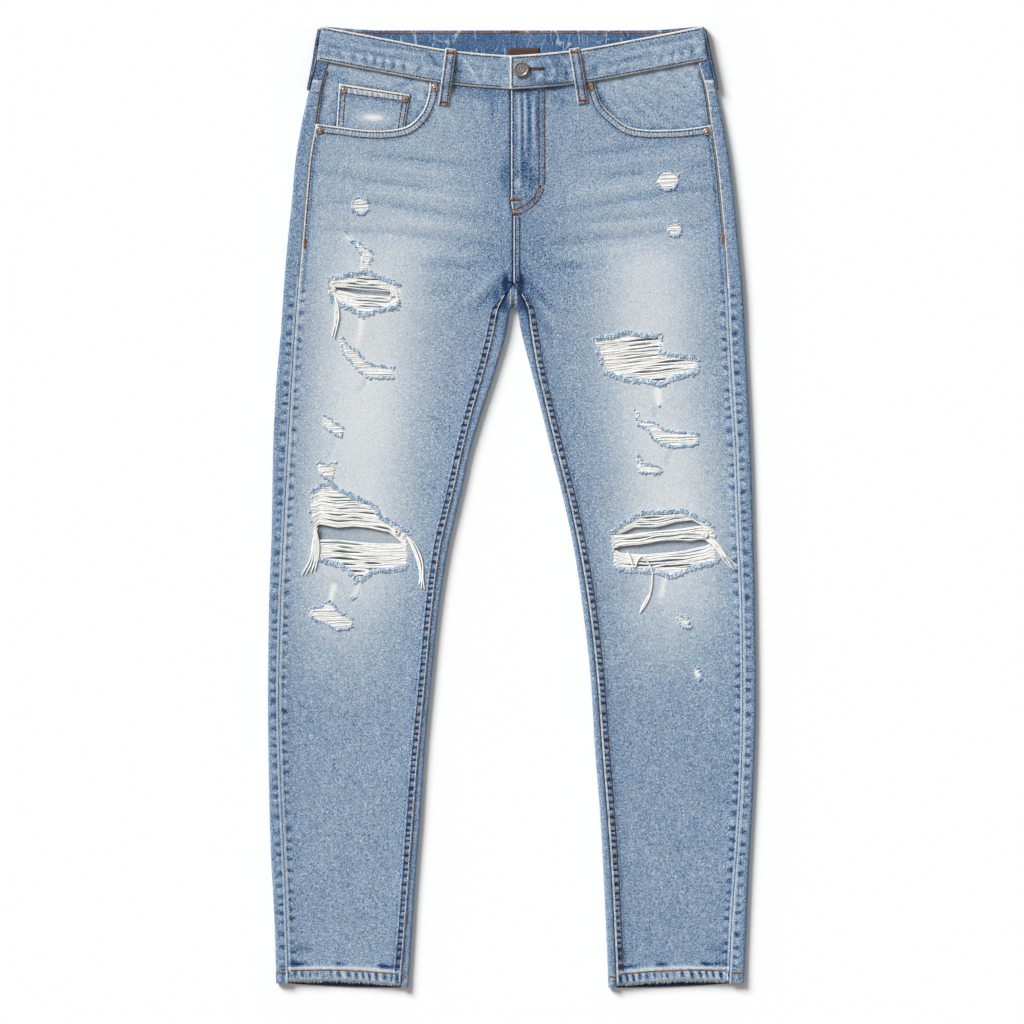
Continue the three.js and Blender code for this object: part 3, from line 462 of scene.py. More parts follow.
# Creases and whiskers: the line each runs along, how wide it is, how far it stands up
# (below zero it is a trough) and how much paler it is; ridges are worn paler, and the darker tint in troughs is
# painted shade with unworn indigo
CREASES = [
    # Whiskers across the hips
    [[(-151, 379), (-121, 376), (-89, 373), (-37, 366)], 3.4, -0.45, -0.12],
    [[(-216, 361), (-191, 359), (-164, 354), (-132, 349), (-78, 342)], 3.4, -0.45, -0.11],
    [[(-216, 325), (-180, 328), (-148, 328), (-121, 324), (-89, 319), (-67, 315), (-13, 310)],
     3.8, -0.5, -0.12],
    [[(-212, 301), (-180, 298), (-153, 297), (-121, 295), (-67, 288), (-35, 284), (-9, 279)],
     3.6, -0.45, -0.1],
    [[(-95, 258), (-76, 263), (-51, 259), (-30, 260)], 4.2, -0.4, -0.11],
    [[(-94, 228), (-78, 233), (-62, 234)], 6, -0.3, -0.07],
    [[(60, 376), (79, 380), (106, 384), (138, 388), (186, 392)], 3.4, -0.45, -0.11],
    [[(98, 355), (122, 359), (149, 362)], 3.2, -0.4, -0.11],
    [[(190, 366), (212, 371)], 3, -0.4, -0.09],
    [[(43, 319), (84, 324), (127, 332), (160, 337), (179, 341), (222, 344)], 3.8, -0.5, -0.13],
    [[(68, 307), (95, 309), (138, 313), (166, 317)], 3.4, -0.35, -0.09],
    [[(28, 283), (63, 286), (95, 289), (138, 293), (192, 301), (218, 308)], 3.8, -0.45, -0.1],
    [[(28, 257), (52, 260), (79, 258), (99, 262)], 4, -0.4, -0.11],
    # Worn ridges between the whiskers
    [[(-190, 370), (-120, 363), (-60, 356)], 4, 0.35, 0.06],
    [[(-160, 341), (-100, 335), (-40, 328)], 4.6, 0.4, 0.06],
    [[(-130, 310), (-80, 303), (-24, 296)], 4.6, 0.4, 0.06],
    [[(-120, 277), (-70, 273), (-30, 270)], 4.6, 0.3, 0.04],
    [[(80, 366), (130, 373), (200, 382)], 4, 0.35, 0.05],
    [[(60, 336), (110, 343), (150, 350)], 4.6, 0.4, 0.05],
    [[(50, 299), (110, 303), (180, 310)], 4, 0.35, 0.05],
    [[(40, 271), (90, 274), (140, 279)], 4.6, 0.3, 0.04],
    # Folds that run from the crotch
    [[(-6, 262), (-15, 254), (-26, 241), (-41, 227), (-54, 217)], 4.2, 0.8, 0.12],
    [[(-4, 248), (-14, 236), (-30, 220), (-44, 206)], 4, -0.6, -0.09],
    [[(9, 280), (19, 265), (43, 249)], 3.2, 0.45, 0.07],
    [[(13, 249), (26, 234), (39, 219), (52, 210)], 3.4, -0.6, -0.12],
    [[(15, 234), (28, 221), (43, 204), (52, 190)], 3.6, 0.6, 0.08],
    [[(23, 216), (34, 200), (44, 180)], 3.4, -0.4, -0.07],
    [[(-62, 190), (-74, 160), (-84, 120)], 9, 0.4, 0],
    [[(66, 186), (80, 150), (92, 110)], 9, 0.4, 0],
    # Cracks between the small rips
    [[(-181, 317), (-178, 306), (-176, 298)], 1.6, -0.3, -0.08],
    [[(-156, 141), (-160, 132), (-164, 124)], 1.8, -0.5, -0.1],
    [[(-190, 76), (-197, 53)], 2, -0.4, -0.05],
    [[(-196, -80), (-185, -84), (-178, -92)], 2.6, -0.4, -0.07],
    [[(-168, -78), (-166, -92), (-176, -104)], 2.2, -0.6, -0.12],
    [[(155, 108), (153, 97)], 1.8, -0.6, -0.16],
    [[(172, 64), (168, 52), (166, 42)], 1.8, -0.5, -0.13],
    [[(164, -78), (160, -92), (158, -104)], 1.8, -0.3, 0.08],
    [[(158, -108), (164, -116), (172, -120)], 1.8, -0.3, -0.05],
    # Creases beside the fly, the loops and in the pocket mouths
    [[(7.4, 450), (8.2, 410), (7.6, 368)], 1.8, 0.5, 0.4],
    [[(13.6, 448), (14.6, 420), (14.2, 388)], 1.8, 0.5, 0.36],
    [[(11, 448), (11.4, 400), (11, 372)], 1.2, -0.5, -0.34],
    [[(18.4, 448), (19, 400), (18.6, 380)], 2, -0.5, -0.34],
    [[(23.4, 446), (23.4, 420), (24.4, 384)], 1.7, 0.4, 0.3],
    [[(27, 446), (27.2, 420), (27, 388)], 1.2, -0.3, -0.3],
    [[(8, 372), (8.6, 356), (7, 340)], 1.4, 0.4, 0.3],
    [[(17, 366), (17.6, 352), (16, 344)], 1.4, 0.3, 0.2],
    [[(39, 452), (39, 400), (38, 352)], 2.4, 0.3, 0.08],
    [[(-84, 440), (-80, 424), (-74, 412)], 2.2, 0.4, 0.12],
    [[(-72, 428), (-62, 416), (-58, 410)], 2, 0.4, 0.12],
    [[(-92, 426), (-86, 410)], 2, -0.4, -0.1],
    [[(-104, 464), (-112, 458), (-128, 452)], 2.4, -0.4, -0.16],
    [[(-100, 452), (-96, 440), (-95, 428)], 2.2, 0.4, 0.12],
    [[(-198, 466), (-192, 460), (-176, 461)], 2.6, -0.4, -0.16],
    [[(-190, 446), (-202, 430), (-200, 416)], 2.4, 0.4, 0.1],
    [[(92, 452), (100, 436), (112, 424)], 2.4, -0.3, -0.12],
    [[(52, 446), (62, 441), (70, 440)], 2, 0.4, 0.12],
    [[(-44, 442), (-36, 430), (-33, 420)], 2.2, 0.35, 0.1],
    [[(-24, 446), (-20, 430), (-22, 412)], 2.4, -0.35, -0.12],
    # Soft rolls of the legs
    [[(-150, -118), (-112, -126)], 10, 0.3, 0],
    [[(-236, -152), (-190, -160), (-150, -160)], 12, -0.3, -0.01],
    [[(110, -120), (160, -134)], 10, 0.3, 0],
    [[(180, -160), (235, -150)], 12, -0.3, -0.01],
    [[(-205, -300), (-150, -320)], 16, 0.3, 0.01],
    [[(140, -290), (210, -306)], 16, 0.3, 0.01],
]

# Darker and paler patches: middle x, y, half width, half height, how much paler
PATCHES = [
    [14, 364, 9, 12, -0.24],
    [20, 350, 5, 7, -0.2],
    [7, 396, 3, 14, -0.14],
    # Painted shade beside the edge of the fly
    [-8, 358, 5, 16, -0.22],
    [5, 350, 2.4, 5, 0.3],
    [26, 352, 3.4, 6, -0.14],
    [22, 372, 2.4, 4, 0.16],
    # Painted shadow in the dark folds either side of the crotch, and a dark band across its crossing seam
    [-6.8, 241, 3.2, 9, -0.8],
    [9.8, 242, 3.2, 10, -0.8],
    [1.4, 242.4, 10, 1.7, -0.6],
    # Painted shade in the folds that run down from the crotch
    [-16, 226, 6, 9, -0.16],
    [19, 226, 6, 10, -0.16],
    [55, 440, 12, 10, -0.12],
    [-40, 444, 26, 6, -0.12],
    [-206, 446, 5, 18, -0.18],
    [-186, 468, 14, 4, -0.16],
    [-113, 466, 14, 5, -0.2],
    [-99, 418, 7, 8, -0.12],
    [210, 452, 5, 14, -0.16],
    [88, 462, 6, 8, -0.2],
    [96, 436, 5, 9, -0.16],
    [-226, -480, 12, 5, -0.2],
    [-118, -484, 7, 9, -0.3],
    [115, -484, 7, 9, -0.3],
    [222, -480, 10, 5, -0.16],
]


def creases(x, y):
    """How far the creases lift the cloth and how much paler they are, at places x, y."""
    x, y = np.broadcast_arrays(np.asarray(x, float), np.asarray(y, float))
    rise, paler = np.zeros(x.shape), np.zeros(x.shape)
    for line, width, height, tint in CREASES:
        near = near_box(x, y, np.array(line, float), 3 * width)
        if not near.any():
            continue
        curve = catmull_rom(line, 5)
        distance, _, _, run = nearest_on(x[near], y[near], curve)
        share = run / np.linalg.norm(np.diff(curve, axis=0), axis=1).sum()
        taper = np.clip(np.sin(math.pi * np.clip(share, 0.02, 0.98)), 0, 1) ** 0.45
        near_line = bell(distance, width) * taper
        rise[near] += height * near_line
        paler[near] += tint * near_line
    for middle_x, middle_y, half_x, half_y, tint in PATCHES:
        away = ((x - middle_x) / half_x) ** 2 + ((y - middle_y) / half_y) ** 2
        paler += tint * np.exp(-(away**1.3))
    return rise, paler


POCKET_MOUTH = {
    RIGHT: [(-88.5, 472), (-89, 456), (-91, 442), (-98, 425), (-113.5, 411), (-137, 406.5),
            (-161, 407), (-188, 410.5), (-232, 416)],
    LEFT: [(88, 473), (89.5, 459), (93, 445), (100, 431), (122, 412.5), (141, 407.5),
           (164, 407), (190, 408.5), (234, 415)],
}
MOUTH_LINE = {side: catmull_rom(points) for side, points in POCKET_MOUTH.items()}


def mouth_outline(side):
    line = MOUTH_LINE[side]
    return np.vstack([line, [[line[-1, 0], WAIST_TOP], [line[0, 0], WAIST_TOP]]])


def round_outline(x, y, radius, corners=14):
    turn = np.linspace(0, 2 * math.pi, corners, endpoint=False)
    return [(x + radius * math.cos(a), y + 0.92 * radius * math.sin(a)) for a in turn]


def torn(name, side, outline, through=False, threads=True, gaps=(), tilt=0.0):
    """A rip. Where it goes through, the cloth is cut away and the back of the leg shows between
    the threads; gaps are the clear slits, each as its upper and its lower line."""
    return {"name": name, "side": side, "through": through, "threads": threads, "gaps": gaps,
            "tilt": tilt, "torn": ragged(outline, 0.45 if through else 0.35)}


RIPS = [
    torn("right_thigh", RIGHT, [
        (-196, 245), (-178, 248), (-158, 252), (-142, 246), (-124, 238), (-124, 224), (-126, 217),
        (-150, 213), (-162, 209), (-176, 217), (-191, 222), (-197, 232)
    ], through=True, gaps=[
       ([(-193, 236), (-191, 237), (-173, 236.6), (-146, 234.4), (-131, 232.4), (-129.6, 229.5)],
        [(-193, 236), (-187, 233.8), (-166, 229), (-146, 227.4), (-132, 226.4), (-129.6, 229.5)]),
    ]),
    torn("right_knee", RIGHT, [
        (-200, 24), (-216, 14), (-217, -1), (-213, -18), (-210.5, -36), (-210.5, -54),
        (-183, -61.5), (-165, -77), (-150, -68), (-115.5, -63.5), (-115, -40), (-114, -29),
        (-143, -12), (-154, 3), (-171, 9)
    ], through=True, gaps=[
       ([(-212, -22), (-208, -18.5), (-188, -22), (-171, -21), (-153, -23), (-133, -26.5),
         (-122, -36), (-119, -39)],
        [(-212, -33), (-208, -35.5), (-188, -36), (-167, -38), (-145, -39.5), (-122, -40),
         (-119, -39)]),
    ]),
    torn("left_thigh", LEFT, [
        (90.7, 179.3), (108, 182), (123, 187), (138, 184), (160, 182.5), (158.8, 166), (173, 162),
        (196.6, 159.5), (201, 149), (188, 144.5), (173, 140.4), (160, 133), (149, 137), (135, 138),
        (119, 140.4), (101.5, 147), (98.3, 158), (93, 169.6)
    ], through=True, tilt=0.09),
    torn("left_knee", LEFT, [
        (108, -29), (120, -20), (142, -7.5), (181, -6), (204, -15), (214.5, -22), (218, -42),
        (218.5, -58), (186, -67), (170, -74), (160, -68), (124, -67), (111, -62), (109.5, -46)
    ], through=True, gaps=[
       ([(117, -29), (122, -26.5), (132, -22), (157, -21.5), (177, -16), (195, -14.5), (205, -20)],
        [(117, -30), (127, -30), (160, -26), (186, -23.5), (205, -20.5)]),
       ([(113, -44), (116, -42), (135, -41), (157, -37), (186, -34.5), (208, -35), (213, -39)],
        [(113, -47), (116, -49.5), (145, -51.5), (186, -47.5), (208, -42.5), (213, -40)]),
    ]),
    torn("right_wedge", RIGHT, [
        (-170.2, 286.6), (-162, 281), (-153.4, 275.4), (-150.8, 272.2), (-156.6, 262.4),
        (-158.4, 254), (-162.6, 254), (-160.6, 266), (-161.6, 273.2), (-167.4, 280.8)
    ]),
    torn("right_nick", RIGHT, [
        (-180.4, 297), (-177, 292.6), (-174, 288.4), (-176, 287), (-179.3, 291.6)
    ], threads=False),
    torn("right_crack", RIGHT, [
        (-164.7, 206), (-159.8, 206), (-162, 191), (-165.2, 180.4), (-166.9, 169.6),
        (-168.5, 169.6), (-167.4, 182.5), (-165.2, 193.3)
    ], threads=False),
    torn("right_slant", RIGHT, [
        (-184.7, 181.4), (-179.3, 175), (-173.9, 170.6), (-167.4, 166.3), (-162, 157.7),
        (-151.2, 152.3), (-128.5, 149), (-128.5, 140.4), (-142.6, 140.4), (-156.6, 141.5),
        (-164.2, 146.9), (-170.6, 154.4), (-178.2, 162), (-182.5, 169.6)
    ]),
    torn("right_upper_knee", RIGHT, [
        (-202, 98), (-192, 90), (-183, 85), (-185, 77), (-194, 81), (-202, 86)
    ]),
    torn("right_top_knee", RIGHT, [
        (-208, 47), (-199, 44), (-192, 48), (-193, 38), (-195, 30), (-202, 34), (-207, 38)
    ]),
    torn("right_low_crack", RIGHT, [
        (-194.4, -84), (-190, -84), (-193.3, -95), (-195.5, -104), (-199, -104), (-196.6, -94)
    ], threads=False),
    torn("right_low_nick", RIGHT, [
        (-167.4, -80), (-164.2, -80), (-167, -92), (-171, -98), (-173, -96.4), (-169.6, -89.6)
    ], threads=False),
    torn("right_shin", RIGHT, [
        (-217, -111.2), (-205.2, -108), (-198.7, -102.6), (-195.5, -104.8), (-190, -112.3),
        (-180.4, -118.8), (-172.8, -122), (-173.9, -128.5), (-180.4, -130.7), (-186.8, -131.8),
        (-193.3, -129.6), (-205.2, -122), (-216, -118.8)
    ]),
    torn("right_round", RIGHT, round_outline(-164, 325, 8.2)),
    torn("left_round_upper", LEFT, round_outline(168, 353, 10.6)),
    torn("left_round_lower", LEFT, round_outline(175, 300, 7)),
    torn("left_crack", LEFT, [
        (154, 134), (162, 134), (160, 122), (161, 113), (157, 109), (155, 118)
    ], threads=False),
    torn("left_slant", LEFT, [
        (134, 104), (136, 93), (148, 90), (153, 90), (162, 82), (176, 80), (199, 78), (199, 69),
        (176, 66), (161, 69), (152, 76), (148, 85), (137, 89)
    ]),
    torn("left_hook", LEFT, [
        (135, 58), (140, 46), (161, 42), (158, 37), (138, 39)
    ]),
    torn("left_low_crack", LEFT, [
        (163, -75), (166, -75), (164, -86), (162, -96), (160, -96), (162, -86)
    ], threads=False),
    torn("left_shin", LEFT, [
        (178, -117), (189, -121), (191, -130), (183, -127)
    ]),
    torn("left_shin_nick", LEFT, [
        (196, -172), (200, -175), (203, -179), (202, -185), (199, -184), (197, -178)
    ], threads=False),
]


# How pale the cloth is worn. The patch on each leg has its middle, its half width and its
# strength at each height.
leg_patch = smooth_table(
    ["y", "right_x", "right_half", "right_share", "left_x", "left_half", "left_share"],
    [
        [385, -140, 95, 0.05, 128, 80, 0.05],
        [342, -140, 90, 0.22, 130, 75, 0.22],
        [299, -142, 80, 0.5, 140, 66, 0.42],
        [256, -152, 72, 0.78, 147, 55, 0.84],
        [213, -156, 70, 0.93, 148, 58, 0.9],
        [126, -160, 66, 1, 152, 60, 0.88],
        [40, -168, 64, 0.97, 166, 60, 0.95],
        [-45, -172, 66, 0.92, 172, 60, 0.9],
        [-90, -174, 62, 0.8, 175, 58, 0.78],
        [-133, -180, 58, 0.52, 172, 56, 0.5],
        [-176, -178, 60, 0.24, 170, 56, 0.22],
        [-219, -176, 60, 0.05, 168, 56, 0.04],
    ],
)
BASE_TONE = 0.555
PATCH_TONE = 0.42


def leg_tone(side, x, y):
    """How pale the upper cloth is worn, from 0 for full indigo to 1 for white."""
    name = SIDE_NAMES[side]
    across = np.abs(x - leg_patch(f"{name}_x", y)) / leg_patch(f"{name}_half", y)
    patch = PATCH_TONE * leg_patch(f"{name}_share", y) * np.exp(-(across**2.6))
    hips = 0.07 * smoothstep(215, 330, y) * smoothstep(470, 400, y)
    if side == LEFT:
        hips = hips * 0.3
    centre = -0.12 * smoothstep(190, 260, y) * bell(x - CENTRE_X, 42)
    crotch = -0.14 * np.exp(-((np.hypot(x - CENTRE_X, y - CROTCH_Y - 8) / 26) ** 2))
    side_dark = -0.05 * bell(x - side_seam(side, y), 15)
    inner = np.where(y < JUNCTION_Y, bell(x - inside_seam(side, y), 14), 0)
    low = -0.02 * smoothstep(-100, -300, y) * (2 if side == LEFT else 1)
    return BASE_TONE + patch + hips + centre + crotch + side_dark - 0.05 * inner + low


# Making meshes

def spread_out(count, fine=0.42):
    """From 0 to 1, closer together at both ends."""
    u = np.linspace(0, 1, count)
    return u - fine * np.sin(2 * math.pi * u) / (2 * math.pi)


def share_grids(rows, columns, fine_down=0.0, fine_across=0.0):
    """Grids of the share across a piece and of the share down it."""
    across = np.broadcast_to(spread_out(columns, fine_across)[None, :], (rows, columns)) + 0
    down = np.broadcast_to(spread_out(rows, fine_down)[:, None], (rows, columns)) + 0
    return across, down


def to_mesh(name, shape):
    mesh = bpy.data.meshes.new(name)
    shape.to_mesh(mesh)
    shape.free()
    return mesh


def add_object(name, mesh, materials):
    piece = bpy.data.objects.new(name, mesh)
    bpy.context.scene.collection.objects.link(piece)
    for material in materials:
        mesh.materials.append(material)
    mesh.polygons.foreach_set("use_smooth", np.ones(len(mesh.polygons), bool))
    return piece


def read_coordinates(mesh):
    flat = np.empty(len(mesh.vertices) * 3)
    mesh.vertices.foreach_get("co", flat)
    return flat.reshape(-1, 3)


def cloth_sheet(name, x, y, z, marks, run, wall, gone=None, flip=False, skins=None):
    """A sheet of cloth from grids of places in millimetres. marks are the grids that its
    material reads, run is how far across the cut a place lies, wall is how thick the cloth is,
    gone are the cells cut away, and skins are the materials of its outside and its inside."""
    place = np.stack([x, y, z], axis=-1)
    rows, columns = place.shape[:2]
    grid = bmesh.new()
    bmesh.ops.create_grid(grid, x_segments=columns - 1, y_segments=rows - 1, size=0.5)
    if gone is not None:
        cut_away = []
        for face in grid.faces:
            centre = face.calc_center_median()
            column = int((centre.x + 0.5) * (columns - 1))
            row = int((centre.y + 0.5) * (rows - 1))
            if gone[row, column]:
                cut_away.append(face)
        bmesh.ops.delete(grid, geom=cut_away, context="FACES")
    if flip:
        bmesh.ops.reverse_faces(grid, faces=grid.faces)
    mesh = to_mesh(name, grid)
    flat = read_coordinates(mesh)
    column = np.rint((flat[:, 0] + 0.5) * (columns - 1)).astype(int)
    row = np.rint((flat[:, 1] + 0.5) * (rows - 1)).astype(int)
    mesh.vertices.foreach_set("co", (place[row, column] * MM).ravel())
    for mark, values in marks.items():
        layer = mesh.attributes.new(mark, "FLOAT", "POINT")
        layer.data.foreach_set("value", np.broadcast_to(values, (rows, columns))[row, column])
    corners = np.empty(len(mesh.loops), int)
    mesh.loops.foreach_get("vertex_index", corners)
    cut = np.stack([run[row, column], place[row, column, 1]], axis=1) * MM
    mesh.uv_layers.new(name="cut").data.foreach_set("uv", cut[corners].ravel())
    piece = add_object(name, mesh, skins or [WASHED, INSIDE])
    solid = piece.modifiers.new("wall", "SOLIDIFY")
    solid.thickness = wall * MM
    solid.offset = -1
    solid.material_offset = 1
    return piece


def cloth_marks(tone, edge=NEAR, band=0, run=0, bare=0, most=NEAR):
    """What the denim reads: how pale it is, from wear and from painted shade, how near an edge is,
    how strong its puckers are and which one it is in, and how bare the weft lies."""
    near_edge = np.clip(NEAR - edge, 0, most)
    return {"tone": tone, "edge": near_edge, "band": band, "run": run, "bare": bare}


def ride(piece, slot, *nodes):
    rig.ride(piece, "root")
    if nodes:
        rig.replaces(piece, *nodes)
    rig.slot(piece, slot)


def edge_drop(distance, reach=1.6, drop=0.6):
    """How far the cloth rounds down at an edge."""
    return drop * np.clip(1 - distance / reach, 0, 1) ** 2


def band_rise(distance, width, rise=FELL_RISE):
    """A band of doubled cloth along an edge, between the edge and its width."""
    return rise * smoothstep(width + 0.9, width - 0.5, distance)


def middle_of(distance, width):
    """1 in the middle of a band, 0 at its edges and beyond."""
    return np.clip(1 - np.abs(2 * distance / width - 1) ** 2.5, 0, 1)


# Materials. Colours are those seen in full light, which is brighter than white paper by LIGHT.
LIGHT = 1.15


def dye(red, green, blue):
    """A colour from its 0-255 values as seen, to what the material needs."""
    seen = np.array([red, green, blue]) / 255
    linear = np.where(seen <= 0.04045, seen / 12.92, ((seen + 0.055) / 1.055) ** 2.4)
    return (*(linear / LIGHT), 1)


# Denim from full indigo to bare cotton
WASH = [
    (0, dye(22, 42, 80)),
    (0.2, dye(50, 84, 130)),
    (0.4, dye(101, 134, 170)),
    (0.56, dye(137, 160, 182)),
    (0.75, dye(168, 184, 199)),
    (0.9, dye(201, 209, 215)),
    (1, dye(224, 227, 228)),
]
CREAM = dye(224, 220, 209)
BARE = dye(238, 239, 236)
INSIDE_WASH = [
    (0, dye(28, 44, 72)),
    (0.35, dye(84, 108, 138)),
    (0.6, dye(130, 148, 168)),
    (0.8, dye(170, 181, 192)),
    (1, dye(205, 210, 213)),
]


class Nodes:
    """Short ways to make and join nodes in one tree."""

    def __init__(self, tree):
        self.tree = tree

    def add(self, kind, inputs=(), **settings):
        node = self.tree.nodes.new(kind)
        for name, value in settings.items():
            setattr(node, name, value)
        for key, value in dict(inputs).items():
            if isinstance(value, bpy.types.NodeSocket):
                self.tree.links.new(value, node.inputs[key])
            else:
                node.inputs[key].default_value = value
        return node

    def math(self, operation, a, b=0.0, c=0.0, clamp=False):
        inputs = {0: a, 1: b, 2: c}
        return self.add("ShaderNodeMath", inputs, operation=operation, use_clamp=clamp).outputs[0]

    def mark(self, name):
        return self.add("ShaderNodeAttribute", attribute_name=name).outputs["Fac"]

    def place(self, scale):
        """Object coordinates, scaled on each axis."""
        where = self.add("ShaderNodeTexCoord").outputs["Object"]
        stretch = self.add("ShaderNodeVectorMath", {0: where, 1: scale}, operation="MULTIPLY")
        return stretch.outputs[0]

    def noise(self, scale, detail=2.0, roughness=0.5, distortion=0.0, stretch=(1, 1, 1)):
        inputs = {"Vector": self.place(stretch), "Scale": scale, "Detail": detail,
                  "Roughness": roughness, "Distortion": distortion}
        return self.add("ShaderNodeTexNoise", inputs).outputs["Fac"]

    def centred(self, value, strength):
        """A 0-1 value as one around zero."""
        return self.math("MULTIPLY", self.math("SUBTRACT", value, 0.5), strength)

    def ramp(self, value, start, end, low=0.0, high=1.0):
        inputs = {"Value": value, "From Min": start, "From Max": end, "To Min": low,
                  "To Max": high}
        node = self.add("ShaderNodeMapRange", inputs, interpolation_type="SMOOTHSTEP")
        return node.outputs["Result"]

    def colours(self, value, stops):
        node = self.add("ShaderNodeValToRGB", {"Fac": value})
        elements = node.color_ramp.elements
        while len(elements) < len(stops):
            elements.new(0.5)
        for element, (position, colour) in zip(elements, stops):
            element.position = position
            element.color = colour
        return node.outputs["Color"]

    def mix(self, share, a, b):
        return self.add("ShaderNodeMix", {0: share, 6: a, 7: b}, data_type="RGBA").outputs[2]

    def bump(self, height, distance, strength=1.0):
        inputs = {"Height": height, "Distance": distance, "Strength": strength}
        return self.add("ShaderNodeBump", inputs).outputs["Normal"]

    def group(self, tree, **inputs):
        return self.add("ShaderNodeGroup", inputs, node_tree=tree).outputs

    def give(self, node, **outputs):
        """Joins outputs to the inputs of a node, by name."""
        for name, output in outputs.items():
            self.tree.links.new(output, node.inputs[name.replace("_", " ")])


def node_group(name, inputs, outputs):
    """An effect used by several materials, with float sockets: its nodes, what it is given and
    the node that takes its results."""
    tree = bpy.data.node_groups.new(name, "ShaderNodeTree")
    for socket in inputs:
        tree.interface.new_socket(socket, in_out="INPUT", socket_type="NodeSocketFloat")
    for socket in outputs:
        tree.interface.new_socket(socket, in_out="OUTPUT", socket_type="NodeSocketFloat")
    n = Nodes(tree)
    return n, n.add("NodeGroupInput").outputs, n.add("NodeGroupOutput")


def grain_group():
    """Mottling, slubs along the warp and the grain of twill, as tone and height."""
    n, given, result = node_group("twill grain", ["Amount"], ["Tone", "Height"])
    clouds = n.noise(16, 3, 0.55, 0.4)
    mottle = n.noise(95, 3, 0.62, 0.3, stretch=(1, 0.8, 1))
    slubs = n.noise(300, 2, 0.5, stretch=(1, 0.2, 1))
    weft = n.noise(300, 2, 0.5, stretch=(0.2, 1, 1))
    coarse = n.noise(420, 1, 0.5, 1.2, stretch=(1, 0.85, 1))
    grain = n.noise(980, 1, 0.6, 1.0, stretch=(1, 0.82, 1))
    waves = n.add("ShaderNodeTexWave", {"Vector": n.place((1, 1, 1)), "Scale": 260,
                                        "Distortion": 1.2, "Detail": 1.0, "Detail Scale": 2.0},
                  wave_type="BANDS", bands_direction="DIAGONAL").outputs["Fac"]
    tone = n.centred(clouds, 0.1)
    for part, strength in ((mottle, 0.12), (slubs, 0.16), (weft, 0.07), (coarse, 0.2),
                           (grain, 1.95), (waves, 0.05)):
        tone = n.math("ADD", tone, n.centred(part, strength))
    height = n.math("MULTIPLY_ADD", mottle, 0.4, n.math("MULTIPLY", grain, 0.9))
    for part, strength in ((coarse, 0.25), (slubs, 0.3), (waves, 0.12)):
        height = n.math("MULTIPLY_ADD", part, strength, height)
    n.give(result, Tone=n.math("MULTIPLY", tone, given["Amount"]), Height=height)
    return n.tree


GRAIN = grain_group()


def pucker_group():
    """Puckers along a sewn band: pale cushions with indigo left in the hollows between."""
    n, given, result = node_group("seam puckers", ["Band", "Run"], ["Tone", "Height"])
    stray = n.centred(n.noise(110, 2, 0.5), 0.5)
    turn = n.math("MULTIPLY", n.math("ADD", given["Run"], stray), 2 * math.pi)
    wave = n.math("COSINE", turn)
    spots = n.noise(60, 1, 0.5)
    reach = n.math("MULTIPLY", given["Band"], n.ramp(spots, 0.3, 0.62, 0.35, 1.0))
    hollow = n.math("MULTIPLY", n.ramp(wave, 0.15, 0.95), reach)
    cushion = n.math("MULTIPLY", n.ramp(wave, 0.3, -0.8), given["Band"])
    tone = n.math("MULTIPLY_ADD", hollow, -0.42, n.math("MULTIPLY", cushion, 0.16))
    n.give(result, Tone=tone, Height=n.math("SUBTRACT", cushion, hollow))
    return n.tree


PUCKERS = pucker_group()


def wear_group():
    """How much a worn edge and a bare patch show, from their distances in millimetres."""
    n, given, result = node_group("wear", ["Edge", "Bare"], ["Edge", "Bare", "Halo"])
    rough = n.centred(n.noise(420, 3, 0.6), 2.6)
    wide = n.centred(n.noise(70, 2, 0.5), 1.6)
    edge = n.math("ADD", given["Edge"], n.math("ADD", rough, wide))
    bare = n.math("ADD", given["Bare"], rough)
    n.give(result, Edge=n.ramp(edge, NEAR - 1.5, NEAR - 0.5), Bare=n.ramp(bare, 4.6, 5.4),
           Halo=n.ramp(given["Bare"], 1.5, 5.0))
    return n.tree


WEAR = wear_group()


def new_material(name, roughness, **settings):
    material = bpy.data.materials.new(name)
    material.use_nodes = True
    shader = material.node_tree.nodes["Principled BSDF"]
    shader.inputs["Roughness"].default_value = roughness
    for key, value in settings.items():
        shader.inputs[key.replace("_", " ")].default_value = value
    return material, Nodes(material.node_tree), shader


def denim_material(name, wash, shift=0.0, mottling=1.0, cream=1.0, dark_edge=0.0):
    material, n, shader = new_material(name, 0.92, Sheen_Weight=0.08, Sheen_Roughness=0.6,
                                       Specular_IOR_Level=0.2)
    tone = n.math("ADD", n.mark("tone"), shift)
    calm = n.ramp(tone, 0.5, 1.0, mottling, 0.25 * mottling)
    grain = n.group(GRAIN, Amount=calm)
    puckers = n.group(PUCKERS, Band=n.mark("band"), Run=n.mark("run"))
    wear = n.group(WEAR, Edge=n.mark("edge"), Bare=n.mark("bare"))
    tone = n.math("ADD", tone, grain["Tone"])
    tone = n.math("ADD", tone, puckers["Tone"])
    # On the inside, painted shade darkens the cloth near its edges
    if dark_edge:
        shade = n.ramp(n.mark("edge"), 0.0, 6.0, 0.0, dark_edge)
        tone = n.math("SUBTRACT", tone, shade)
    tone = n.math("MULTIPLY_ADD", wear["Halo"], 0.16, tone, clamp=True)
    colour = n.colours(tone, wash)
    colour = n.mix(n.math("MULTIPLY", wear["Edge"], 0.86 * cream), colour, CREAM)
    colour = n.mix(n.math("MULTIPLY", wear["Bare"], 0.92), colour, BARE)
    height = n.math("MULTIPLY_ADD", puckers["Height"], 0.9, grain["Height"])
    n.give(shader, Base_Color=colour, Normal=n.bump(height, 0.0004, 0.7))
    return material


